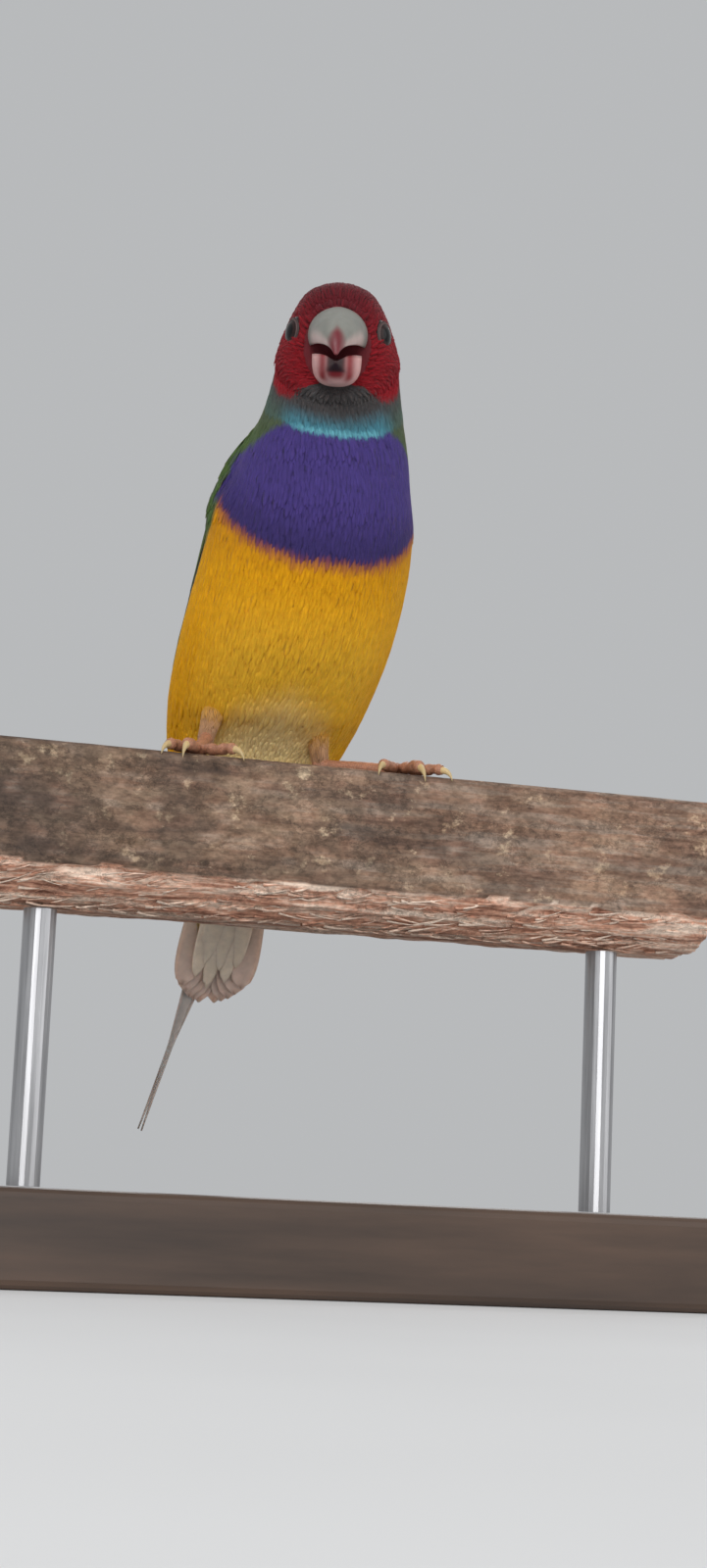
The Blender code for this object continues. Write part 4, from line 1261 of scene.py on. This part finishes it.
def make_wing(word, look):
    """One folded wing, its tiers laid over one another vane by vane."""
    side = 1 if word == "left" else -1
    draw = np.random.default_rng(31 + side)
    wing = Batch()
    for row in WING_TIERS:
        tier, count, root_out, tip_out, root_in, tip_in, half_out, half_in, lift, tilt, point = row
        inner_tone, outer_tone = (np.array(linear(*tone)) for tone in WING_TONES[tier])
        for i in range(count):
            share = i / (count - 1)
            root = np.array(root_out) + (np.array(root_in) - root_out) * share
            tip = np.array(tip_out) + (np.array(tip_in) - tip_out) * share
            tip = tip + draw.uniform(-1, 1, 2) * (0.06, 0.8)
            half = half_out + (half_in - half_out) * share
            raised = lift * (0.5 + 0.5 * eased(share, 0.0, 0.4))
            high, low, u, x = laid_vane(side, root, tip, half, raised, tilt * share, point)
            if tier in ("primary", "secondary"):
                edge = eased(x, 0.45, 0.85)
            else:
                edge = eased(np.abs(x) + u * 0.4, 0.6, 1.2)
            tone = inner_tone + (outer_tone - inner_tone) * edge[..., None]
            tone = tone * (1 - 0.45 * hump(x, 0.09) * (tier == "primary"))[..., None]
            # Each vane darker towards its root, under the vanes over it: painted shade.
            tone = tone * draw.normal(1, 0.05) * (0.8 + 0.25 * u)[..., None]
            wing.add_vane(high, low, tone, linear(96, 88, 80))
    made = wing.make("wing_feathers_" + word, look)
    add_vane_spots(made)
    dressed(made, ("wing_" + word,))


def add_vane_spots(piece):
    """Writes each point's place on its vane, from the bake map, for the barbs."""
    mesh = piece.data
    spots = np.empty(len(mesh.loops) * 2, np.float32)
    mesh.uv_layers["OFBake"].uv.foreach_get("vector", spots)
    corners = corner_points(mesh)
    places = np.zeros((len(mesh.vertices), 3), np.float32)
    local = (spots.reshape(-1, 2) * VANE_CELLS) % 1.0
    places[corners, 0] = (local[:, 0] % VANE_BESIDE - (VANE_CORNER + VANE_HALF)) / VANE_HALF
    places[corners, 1] = (local[:, 1] - VANE_CORNER) / VANE_LENGTH
    put_vector(mesh, "vane", places)


# Tail

# Tail feathers in pairs, from the middle outwards: length past the tail's root and half width.
TAIL_PAIRS = ((34.0, 1.9), (11.8, 2.5), (11.3, 2.6), (10.7, 2.6), (9.8, 2.5), (8.6, 2.4))
TAIL_FAN, PIN_SWAY = 2.0, 8.5
# The long middle pair's width along it.
PIN_PLACES, PIN_WIDTHS = (0, 0.25, 0.45, 0.62, 0.8, 1.0), (1.0, 0.9, 0.5, 0.24, 0.14, 0.045)
# How far the feathers reach into the body.
TAIL_INSIDE, COVERT_INSIDE = 7.0, 6.0
TAIL_TONES = {
    "over": linear(34, 31, 32),
    "under": linear(232, 206, 190),
    "pin under": linear(214, 204, 198),
    "ends": linear(236, 206, 192),
    "under root": linear(244, 222, 200),
    "over root": linear(112, 160, 182),
}
# Long feathers under and over the tail's root: length past it, offset, heading, half width, height.
COVERTS = (
    ("under", 8.6, -0.4, -2.0, 1.5, -1.6),
    ("under", 7.6, 1.3, 1.0, 1.5, -1.75),
    ("under", 7.0, -2.0, -4.0, 1.5, -1.75),
    ("under", 5.6, 0.4, 0.0, 1.6, -2.0),
    ("under", 5.0, 2.2, 3.0, 1.5, -2.05),
    ("under", 4.6, -1.4, -3.0, 1.6, -2.1),
    ("over", 6.4, 0.0, -3.0, 1.5, 2.0),
    ("over", 5.4, 1.7, 1.0, 1.6, 1.8),
    ("over", 5.2, -1.7, -4.0, 1.6, 1.8),
    ("over", 3.8, 0.9, 0.0, 1.7, 2.15),
    ("over", 3.6, -0.9, -2.0, 1.7, 2.15),
)


def tail_frame():
    """The tail's root, the way it runs and the way its back faces."""
    end = (form_surface(0.0, 0.0) + form_surface(0.0, math.pi)) / 2
    inner = (form_surface(1.0, 0.0) + form_surface(1.0, math.pi)) / 2
    along = unit(end - inner)
    back = np.cross((1.0, 0.0, 0.0), along)
    return end, along, unit(back if back[1] > 0 else -back)


def tail_places(u, inside, length, offset, heading, x, half, width):
    """Points of a flat tail feather that starts inside the body, and the way its back faces."""
    end, along, back = tail_frame()
    across = np.array((1.0, 0.0, 0.0))
    reach = -inside + (length + inside) * u
    lean = math.radians(heading)
    middle = end + along * (reach * math.cos(lean))[..., None]
    middle = middle + across * (offset + (reach + inside) * math.sin(lean))[..., None]
    return middle + across * (x * half * width)[..., None], back


def make_tail(look):
    """The tail's vanes, the long middle pair first, and the long feathers over and under its root."""
    draw = np.random.default_rng(3)
    tail = Batch()
    for pair, (length, half) in enumerate(TAIL_PAIRS):
        for side in (-1, 1):
            height = 1.1 - 0.36 * pair + (0.12 if side > 0 else -0.06)
            u, x = vane_grid(15 if pair else 22)
            if pair:
                offset, heading = side * (0.3 + 0.55 * pair), side * TAIL_FAN * pair / 2
                width = vane_outline(u, 5.0)
            else:
                offset, heading = side * 0.6, -PIN_SWAY - side * 1.2
                width = np.interp(u, PIN_PLACES, PIN_WIDTHS)
            place, back = tail_places(u, TAIL_INSIDE, length, offset, heading, x, half, width)
            dome = height + 0.14 * (1 - x**2) - 0.12 * np.abs(x)
            shaft = 0.1 * hump(x, 0.1) * (1 - 0.7 * u)
            high = place + back * (dome + shaft + 0.1)[..., None]
            low = place + back * (dome - 0.08 - 0.6 * shaft)[..., None]
            over = np.array(TAIL_TONES["over"]) * draw.normal(1, 0.06)
            under = np.array(TAIL_TONES["under" if pair else "pin under"]) * draw.normal(1, 0.05)
            ends = np.array(TAIL_TONES["ends"])
            under = under + (ends - under) * (eased(u, 0.35, 0.95) * (pair > 0))[..., None]
            tail.add_vane(high, low, over, under)
    for kind, length, offset, heading, half, height in COVERTS:
        u, x = vane_grid()
        width = vane_outline(u, 3.0)
        place, back = tail_places(u, COVERT_INSIDE, length, offset, heading, x, half, width)
        way = 1 if kind == "over" else -1
        dome = height * (1 - 0.35 * eased(u, 0.3, 1.0)) + way * 0.2 * (1 - x**2)
        high = place + back * (dome + way * 0.06)[..., None]
        low = place + back * (dome - way * 0.06)[..., None]
        tone = np.array(TAIL_TONES[kind + " root"]) * draw.normal(1, 0.04)
        tail.add_vane(high, low, tone, tone)
    made = tail.make("tail_vanes", look)
    add_vane_spots(made)
    dressed(made, ("tail",))


# Legs

FOOT_PLACES = {"right": (-14.4, -2.2, 1.25), "left": (14.2, -1.6, 1.25)}
ANKLES = {"right": (-11.6, 5.0, 4.4), "left": (5.6, 6.8, 2.4)}
THIGH_ROOTS = {"right": (-8.4, 9.8, 15.4), "left": (4.2, 9.8, 14.2)}
TOE_RADIUS = 0.78
# Each toe's length, its claw's length and how high its bends stand.
TOES = {
    "outer": (7.6, 3.2, 0.5),
    "middle": (8.6, 3.6, 0.5),
    "inner": (7.2, 3.4, 0.5),
    "hind": (6.6, 4.2, 0.05),
}
TOE_BENDS = ((0.28, 1.0), (0.55, 0.3), (0.8, 0.5), (1.0, 0.0))
TOE_PADS = (0.06, 0.36, 0.64, 0.9)
TOE_HEADINGS = {
    "right": {"outer": 44.0, "middle": 23.0, "inner": -30.0, "hind": -176.0},
    "left": {"outer": 36.0, "middle": 4.0, "inner": -34.0, "hind": -178.0},
}
LEG_TONE, NAIL_TONE = linear(180, 126, 98), linear(206, 180, 130)
# The thigh's colours at its root and its ankle, and where one fades into the other.
THIGH_TONES = (linear(246, 176, 20), linear(190, 142, 108))
THIGH_FADE = (0.3, 0.85)
THIGH_RADII = ((2.4,), (2.2,), (1.5,), (0.95,))
THIGH_COAT = {
    "Zone": 1,
    "Spacing": 0.44 * MM,
    "Length": 2.3,
    "Width": 0.8,
    "Rise": 0.09,
    "Ruffle": 0.1,
    "Seed": 5,
}


def toe_points(word, toe):
    """Points along a toe that lies on the perch and bends down over its front edge."""
    side = 1 if word == "left" else -1
    length, _, rise = TOES[toe]
    angle = math.radians(TOE_HEADINGS[word][toe] * side)
    ahead = np.array((math.sin(angle), -math.cos(angle), 0.0))
    start = np.array(FOOT_PLACES[word])
    lie = TOE_RADIUS + 0.1
    points = [start]
    for share, bend in TOE_BENDS:
        place = start + ahead * length * share
        points.append(np.array((place[0], place[1], lie + rise * bend)))
    if toe != "hind":
        over = points[-1][1] + PERCH_DEPTH / 2 + lie
        if over < 0:
            points[-1] = points[-1] + (0.0, -over, over)
    return points


def make_thigh(word, look, tree):
    """The feathered part of the leg: a tapering skin with its own small coat."""
    root, ankle = np.array(THIGH_ROOTS[word]), np.array(ANKLES[word])
    bend = root + (ankle - root) * 0.5 + (0, -0.5, 0)
    rows, sides = 20, 24
    path = smooth_path((root, bend, ankle), rows) + BIRD_PLACE
    share = np.linspace(0, 1, rows)
    rings = tube_points(path, through(THIGH_RADII, share * 3)[:, 0], sides)
    thigh = new_piece("thigh_skin_" + word, rings.reshape(-1, 3), tube_faces(rows, sides), look)
    mesh = thigh.data
    high, low = (np.array(tone) for tone in THIGH_TONES)
    along, around = np.repeat(share, sides), np.tile(np.arange(sides) / sides, rows)
    # The skin under the thigh's coat drawn a fifth darker: painted shade.
    put_colour(mesh, "tint", (high + (low - high) * eased(along, *THIGH_FADE)[:, None]) * 0.8)
    put_vector(mesh, "lie", np.repeat(unit(np.gradient(path, axis=0)), sides, axis=0))
    turn = around * 2 * math.pi
    put_vector(mesh, "seat", np.stack((np.cos(turn), np.sin(turn), along), axis=-1))
    put_vector(mesh, "vane", np.zeros((len(mesh.vertices), 3)))
    put_map(mesh, unwrap(around, along)[corner_points(mesh)])
    put_zones(mesh, [THIGH_COAT["Zone"] if face.loop_total == 4 else 0 for face in mesh.polygons])
    dressed(thigh, ("thigh_" + word,))

    def toned(seat, vane, length):
        place = (np.arctan2(seat[:, 1], seat[:, 0]) / (2 * math.pi)) % 1.0
        return high + (low - high) * eased(seat[:, 2:3], *THIGH_FADE), unwrap(place, seat[:, 2])

    pattern = wisp_pattern("thigh_pattern", 0.06)
    coat = grow_coat("coat_thigh_" + word, thigh, tree, pattern, look, THIGH_COAT, 0.06, toned)
    bpy.data.objects.remove(pattern)
    dressed(coat, ())


def make_tarsus(word, look):
    """The bare part of a leg, from the ankle to the foot."""
    ankle, foot = np.array(ANKLES[word]), np.array(FOOT_PLACES[word])
    u = np.linspace(0, 1, 40)
    path = smooth_path((ankle + (ankle - foot) * 0.06, (ankle + foot) / 2 + (0, 0, 0.12), foot), len(u))
    scute = 1 + 0.045 * np.abs(np.sin(u * 26))
    radii = (0.8 + 0.32 * hump(u, 0.12) + 0.25 * hump(u, 0.12, 1)) * scute
    leg = Batch()
    leg.add_tube(tube_points(path + BIRD_PLACE, radii, 18, 1.08), LEG_TONE)
    dressed(leg.make("tarsus_skin_" + word, look, mapped=False), ("tarsus_" + word,))


def make_claw(word, toe, points, look):
    """A toe's claw, curved down from the toe's end."""
    claw = TOES[toe][1]
    v = np.linspace(0, 1, 18)
    curve = points[-1] + unit(points[-1] - points[-2]) * (claw * (v - 0.38 * v**2) - 0.25)[:, None]
    curve = curve + np.array((0, 0, -1.0)) * (claw * 0.42 * v**2)[:, None]
    if toe == "hind":
        curve[:, 2] = np.maximum(curve[:, 2], 0.5)
    nail = Batch()
    tones = np.array(NAIL_TONE) * (1.05 - 0.35 * v)[:, None]
    nail.add_tube(tube_points(curve + BIRD_PLACE, 0.46 * (1 - 0.93 * v**1.25), 14, 1.15), tones)
    dressed(nail.make(f"nail_{word}_{toe}", look, mapped=False), (f"claw_{word}_{toe}",))


def make_foot(word, skin_look, claw_look):
    """A foot with its toes round a ball, and a claw on each toe."""
    pink = np.array(LEG_TONE)
    paw = Batch()
    u = np.linspace(0, 1, 34)
    pads = sum(hump(u, 0.085, k) for k in TOE_PADS)
    radii = (0.68 + 0.19 * pads - 0.12 * u) * (1 + 0.05 * np.abs(np.sin(u * 30)))
    for toe in TOES:
        points = toe_points(word, toe)
        rings = tube_points(smooth_path(points, len(u)) + BIRD_PLACE, radii, 16)
        paw.add_tube(rings, pink * (0.9 + 0.16 * pads)[:, None])
        make_claw(word, toe, points, claw_look)
    foot = np.array(FOOT_PLACES[word])
    ball = smooth_path((foot + (0, 0, 1.0), foot + (0, 0, 0.3), foot - (0, 0, 0.75)), 9) + BIRD_PLACE
    paw.add_tube(tube_points(ball, 1.2 * np.sqrt(1.02 - np.linspace(-1, 1, 9) ** 2), 18), pink)
    dressed(paw.make("foot_skin_" + word, skin_look, mapped=False), ("foot_" + word,))


def make_legs(skin_look, claw_look, feather_look):
    """Both legs. Their small coats grow from the body's tree, so the body is made before them."""
    for word in ("right", "left"):
        make_thigh(word, feather_look, bpy.data.node_groups["coat"])
        make_tarsus(word, skin_look)
        make_foot(word, skin_look, claw_look)


# Perch and stand

PERCH_LENGTH, PERCH_DEPTH, PERCH_HEIGHT, PERCH_ROUND = 106.0, 18.0, 21.2, 1.1
# The broken lower front edge.
SPLIT_HEIGHT, SPLIT_DEPTH = 4.3, 6.0
# How deep wear, fine wear, pits and chips cut into the faces.
WEAR, FINE_WEAR, PIT_DEPTH, CHIP_DEPTH = 0.16, 0.07, 0.35, 0.8
# The torn underside: how far its coarse and its fine fibres stand out, and how far it lies back.
TORN, TORN_FINE, TORN_BACK = 0.55, 0.5, 0.5
SPLINTERS = 330
SPLINTER_PLACES, SPLINTER_LENGTHS = (-51, 48), (1.6, 5.5)
SPLINTER_SLANTS, SPLINTER_RADII = (-0.25, 0.7), (0.14, 0.4)
# Shares by which a splinter is drawn paler: painted highlight.
SPLINTER_HIGHLIGHTS = (0.0, 0.0, 0.35, 0.85)
SPLINTER_END, SPLINTER_FRONT = 52.6, -9.05


def rough(points, scale, seed):
    """Smooth noise from -1 to 1 at each point, the seed moving its field."""
    shift = Vector((seed * 17.3, seed * 5.1, seed * 9.7))
    return np.array([noise.noise(Vector(p) * scale + shift) for p in points])


def batten_outline(count):
    """Points round the batten's section, from its top front edge on, and how broken each is."""
    half, bottom = PERCH_DEPTH / 2, -PERCH_HEIGHT
    corners = (
        (-half, -PERCH_ROUND, 0),
        (-half + PERCH_ROUND * 0.35, -PERCH_ROUND * 0.35, 0),
        (-half + PERCH_ROUND, 0.0, 0),
        (half - PERCH_ROUND, 0.0, 0),
        (half - PERCH_ROUND * 0.35, -PERCH_ROUND * 0.35, 0),
        (half, -PERCH_ROUND, 0),
        (half, bottom + PERCH_ROUND, 0),
        (half - PERCH_ROUND, bottom, 0.6),
        (-half + SPLIT_DEPTH, bottom, 1),
        (-half + SPLIT_DEPTH * 0.4, bottom + SPLIT_HEIGHT * 0.45, 1),
        (-half, bottom + SPLIT_HEIGHT, 1),
        (-half, bottom + SPLIT_HEIGHT + 0.4, 0),
    )
    corners = np.array((*corners, corners[0]), float)
    lengths = np.linalg.norm(np.diff(corners[:, :2], axis=0), axis=1)
    places = np.concatenate(((0,), np.cumsum(lengths)))
    steps = np.linspace(0, places[-1], count, endpoint=False)
    return np.stack([np.interp(steps, places, corners[:, k]) for k in range(3)], axis=-1)


def make_batten(look):
    """The old batten: worn, chipped and stained, its lower front edge broken into splinters."""
    rows, around = 240, 150
    outline = batten_outline(around)
    xs = np.linspace(-PERCH_LENGTH / 2, PERCH_LENGTH / 2, rows)
    centre = np.array((0.0, 0.0, -PERCH_HEIGHT / 2))
    grid = np.empty((rows, around, 3))
    grid[..., 0] = xs[:, None]
    grid[..., 1:] = outline[None, :, :2]
    place = np.array((0.0, BIRD_PLACE[1], PERCH_TOP))
    flat = grid.reshape(-1, 3)
    away = flat - centre
    away[:, 0] = 0
    away = unit(away)
    broken = np.tile(outline[:, 2], rows)
    stretched = flat * (0.3, 1.0, 1.0)
    fibres = flat * (0.1, 1.0, 1.0)
    wear = WEAR * rough(stretched, 0.35, 1) + FINE_WEAR * rough(stretched, 1.1, 2)
    pits = -PIT_DEPTH * eased(rough(stretched, 0.55, 3), 0.28, 0.5)
    torn = TORN * rough(fibres, 0.8, 4) + TORN_FINE * np.abs(rough(fibres, 1.9, 5)) - TORN_BACK
    edge = hump(flat[:, 2] + PERCH_HEIGHT, 0.8, SPLIT_HEIGHT) * (flat[:, 1] < -7)
    chips = -CHIP_DEPTH * edge * eased(rough(flat * (0.45, 1, 1), 0.5, 6), 0.0, 0.4)
    top = flat[:, 2] > -0.4
    shift = np.where(top, -0.12 + 0.4 * wear, wear + pits * (1 - broken) + torn * broken + chips)
    shift = np.minimum(shift, 0.25)
    flat = flat + away * shift[:, None]
    fresh = np.clip(broken + 1.2 * (chips < -0.25) + (pits < -0.24) * 0.12, 0, 1)
    bottom = eased(-flat[:, 2], PERCH_HEIGHT - 1.4, PERCH_HEIGHT - 0.4)
    fresh = np.clip(np.maximum(fresh, 0.85 * bottom), 0, 1)
    patches = eased(rough(flat * (0.6, 1, 1), 0.2, 8), -0.2, 0.5)
    # Darker round a place near the batten's left end, halfway down.
    corner = np.exp(-(((flat[:, 0] + 46) / 13) ** 2) - ((flat[:, 2] + 9) / 6) ** 2)
    stained = np.clip(patches * 0.4 + corner * 0.8, 0, 0.85) * (1 - fresh)
    bare = 0.14 * eased(rough(flat * (0.8, 1, 1), 0.42, 9), -0.1, 0.6)
    # Paler towards the batten's right end.
    bare = (bare + 0.14 * eased(flat[:, 0], -25, 45)) * (1 - fresh)
    tones = np.stack((np.maximum(fresh, bare), stained, np.zeros_like(fresh)), axis=-1)
    batten = Batch()
    batten.add(flat + place, tube_faces(rows, around), tones)
    draw = np.random.default_rng(17)
    for _ in range(SPLINTERS):
        u = draw.uniform(0, 1)
        length = draw.uniform(*SPLINTER_LENGTHS)
        slant = draw.uniform(*SPLINTER_SLANTS)
        rise = SPLIT_HEIGHT * max(0.0, 0.96 - u * 1.25)
        start = np.array((draw.uniform(*SPLINTER_PLACES), -8.8 + u * 7.5, -PERCH_HEIGHT + rise + 0.05))
        v = np.linspace(0, 1, 6)
        path = start + np.outer(v * length, unit(np.array((1.0, -0.8 * slant, 0.55 * slant))))
        path[:, 0] = np.minimum(path[:, 0], SPLINTER_END)
        path[:, 1] = np.maximum(path[:, 1], SPLINTER_FRONT)
        path[:, 2] -= 0.25 * np.sin(v * math.pi) * draw.uniform(0, 1)
        path[:, 2] = np.clip(path[:, 2], -PERCH_HEIGHT - 0.25, -PERCH_HEIGHT + SPLIT_HEIGHT)
        radii = draw.uniform(*SPLINTER_RADII) * (1 - v) ** 0.7 + 0.02
        # Some splinters drawn paler: painted highlight.
        pale = draw.choice(SPLINTER_HIGHLIGHTS)
        batten.add_tube(tube_points(path + place, radii, 5, 0.6), (1.0, 0.0, pale))
    dressed(batten.make("batten", look, mapped=False), ("perch",))


# Operators, one for each piece or group


class FINCH_OT_body(bpy.types.Operator):
    """Makes the skin and the small feathers over it"""

    bl_idname = "finch.body"
    bl_label = "Body And Coat"

    def execute(self, context):
        look = feather_material("plumage_look")
        skin = make_skin(look)
        make_coats(skin, look)
        return {"FINISHED"}


class FINCH_OT_face(bpy.types.Operator):
    """Makes the eyes, their bare rings, the bill and the tongue"""

    bl_idname = "finch.face"
    bl_label = "Eyes And Bill"

    def execute(self, context):
        make_eyes(eye_material(), horn_material("eye_ring_look", 0.55, 0.0))
        make_bill(horn_material("bill_look", 0.42, 0.06))
        return {"FINISHED"}


class FINCH_OT_wings(bpy.types.Operator):
    """Makes both folded wings, vane by vane"""

    bl_idname = "finch.wings"
    bl_label = "Wings"

    def execute(self, context):
        look = feather_material("wing_look", 0.6)
        for word in ("right", "left"):
            make_wing(word, look)
        return {"FINISHED"}


class FINCH_OT_tail(bpy.types.Operator):
    """Makes the tail's vanes with the long middle pair"""

    bl_idname = "finch.tail"
    bl_label = "Tail"

    def execute(self, context):
        make_tail(feather_material("tail_look", 0.6))
        return {"FINISHED"}


class FINCH_OT_legs(bpy.types.Operator):
    """Makes the thighs, tarsi, feet and claws"""

    bl_idname = "finch.legs"
    bl_label = "Legs"

    def execute(self, context):
        claw_look = horn_material("claw_look", 0.35)
        make_legs(scaly_material("leg_look"), claw_look, feather_material("thigh_look"))
        return {"FINISHED"}


class FINCH_OT_perch(bpy.types.Operator):
    """Makes the old batten that the bird grips"""

    bl_idname = "finch.perch"
    bl_label = "Batten"

    def execute(self, context):
        make_batten(batten_material(finch_colours()))
        return {"FINISHED"}


class FINCH_OT_stand(bpy.types.Operator):
    """Finishes the stand's base and rods"""

    bl_idname = "finch.stand"
    bl_label = "Stand"

    def execute(self, context):
        wood = stand_wood_material(tuple(finch_colours().stand))
        steel = steel_material()
        for name, look in (("stand_base", wood), ("stand_rod_left", steel), ("stand_rod_right", steel)):
            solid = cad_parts[name]
            if not solid.material_slots:
                solid.data.materials.append(look)
            for place in solid.material_slots:
                place.material = look
        return {"FINISHED"}


CAMERA_AZIMUTH, CAMERA_DISTANCE, CAMERA_HEIGHT = -17.0, 345.0, 10.0
CAMERA_TARGET = (-0.3, -16.0, 67.6)
CAMERA_LENS, CAMERA_ROLL = 59.7, 2.5
FLOOR_RADIUS, FLOOR_SIDES = 4000.0, 96
LIT_PLACE = (-0.005, -0.007, 0.1)
# Name, place and target in metres, width and power.
LAMPS = (
    ("key_light", (-0.55, -0.75, 0.75), LIT_PLACE, 0.7, 4.4),
    ("fill_light", (0.7, -0.5, 0.35), LIT_PLACE, 0.8, 1.8),
    ("rim_light", (0.3, 0.8, 0.7), LIT_PLACE, 0.5, 1.6),
    ("low_light", (-0.3, -1.25, 0.32), (0.0, 0.0, 0.08), 0.9, 6.0),
)
SKY_TONE, SKY_POWER = linear(228, 230, 232), 0.62


def soft_light(name, place, target, width, power):
    """A round soft lamp that looks at its target."""
    lamp = bpy.data.lights.new(name, "AREA")
    lamp.shape = "DISK"
    lamp.size = width
    lamp.energy = power
    holder = bpy.data.objects.new(name, lamp)
    holder.location = place
    holder.rotation_euler = (Vector(target) - Vector(place)).to_track_quat("-Z", "Y").to_euler()
    bpy.context.scene.collection.objects.link(holder)


class FINCH_OT_stage(bpy.types.Operator):
    """Makes the pale floor, the soft lights and the camera"""

    bl_idname = "finch.stage"
    bl_label = "Stage"

    def execute(self, context):
        look, tree, shader = new_material("floor_look", {"Roughness": 0.9})
        cloud = object_noise(tree, 6.0, 3.0)["Fac"]
        pale = ramp(tree, cloud, (0.3, linear(214, 214, 214)), (0.7, linear(222, 222, 222)))
        give(tree, shader.inputs["Base Color"], pale)
        turn = once_round(FLOOR_SIDES)
        points = [(FLOOR_RADIUS * math.cos(a), FLOOR_RADIUS * math.sin(a), 0.0) for a in turn]
        floor = new_piece("floor", points, [tuple(range(FLOOR_SIDES))], look, smooth=False)
        world = context.scene.world or bpy.data.worlds.new("studio")
        context.scene.world = world
        world.use_nodes = True
        sky = world.node_tree.nodes["Background"]
        sky.inputs["Color"].default_value = (*SKY_TONE, 1.0)
        sky.inputs["Strength"].default_value = SKY_POWER
        for lamp in LAMPS:
            soft_light(*lamp)
        turn = math.radians(CAMERA_AZIMUTH)
        target = Vector(CAMERA_TARGET) * MM
        spot = target + Vector((math.sin(turn), -math.cos(turn), 0.0)) * CAMERA_DISTANCE * MM
        spot.z = CAMERA_HEIGHT * MM
        lens = bpy.data.cameras.new("camera")
        lens.lens = CAMERA_LENS
        lens.sensor_width = 36.0
        lens.clip_start = 0.01
        camera = bpy.data.objects.new("camera", lens)
        aim = (target - spot).to_track_quat("-Z", "Y").to_matrix().to_4x4()
        roll = Matrix.Rotation(math.radians(CAMERA_ROLL), 4, "Z")
        camera.matrix_world = Matrix.Translation(spot) @ aim @ roll
        context.scene.collection.objects.link(camera)
        context.scene.camera = camera
        context.scene.view_settings.view_transform = "Standard"
        return {"FINISHED"}


class FINCH_PT_panel(bpy.types.Panel):
    """Lists the finch's pieces, sizes and colours"""

    bl_label = "Gouldian Finch"
    bl_idname = "FINCH_PT_panel"
    bl_space_type = "VIEW_3D"
    bl_region_type = "UI"
    bl_category = "Finch"

    def draw(self, context):
        layout = self.layout
        for maker in MAKERS:
            layout.operator(maker.bl_idname, text=maker.bl_label)
        for group in (context.scene.finch_sizes, context.scene.finch_colours):
            box = layout.box()
            for name in group.bl_rna.properties.keys():
                if name not in ("rna_type", "name"):
                    box.prop(group, name)


MAKERS = (
    FINCH_OT_body,
    FINCH_OT_face,
    FINCH_OT_wings,
    FINCH_OT_tail,
    FINCH_OT_legs,
    FINCH_OT_perch,
    FINCH_OT_stand,
    FINCH_OT_stage,
)
CLASSES = (FinchSizes, FinchColours, *MAKERS, FINCH_PT_panel)


def register():
    """Adds the classes and the scene's settings."""
    for kind in CLASSES:
        bpy.utils.register_class(kind)
    bpy.types.Scene.finch_sizes = PointerProperty(type=FinchSizes)
    bpy.types.Scene.finch_colours = PointerProperty(type=FinchColours)


def unregister():
    """Takes them away again."""
    del bpy.types.Scene.finch_colours
    del bpy.types.Scene.finch_sizes
    for kind in reversed(CLASSES):
        bpy.utils.unregister_class(kind)


def main():
    """Makes every piece and the stage."""
    register()
    bpy.ops.finch.body()
    bpy.ops.finch.face()
    bpy.ops.finch.wings()
    bpy.ops.finch.tail()
    bpy.ops.finch.legs()
    bpy.ops.finch.perch()
    bpy.ops.finch.stand()
    bpy.ops.finch.stage()


if __name__ == "__main__":
    main()
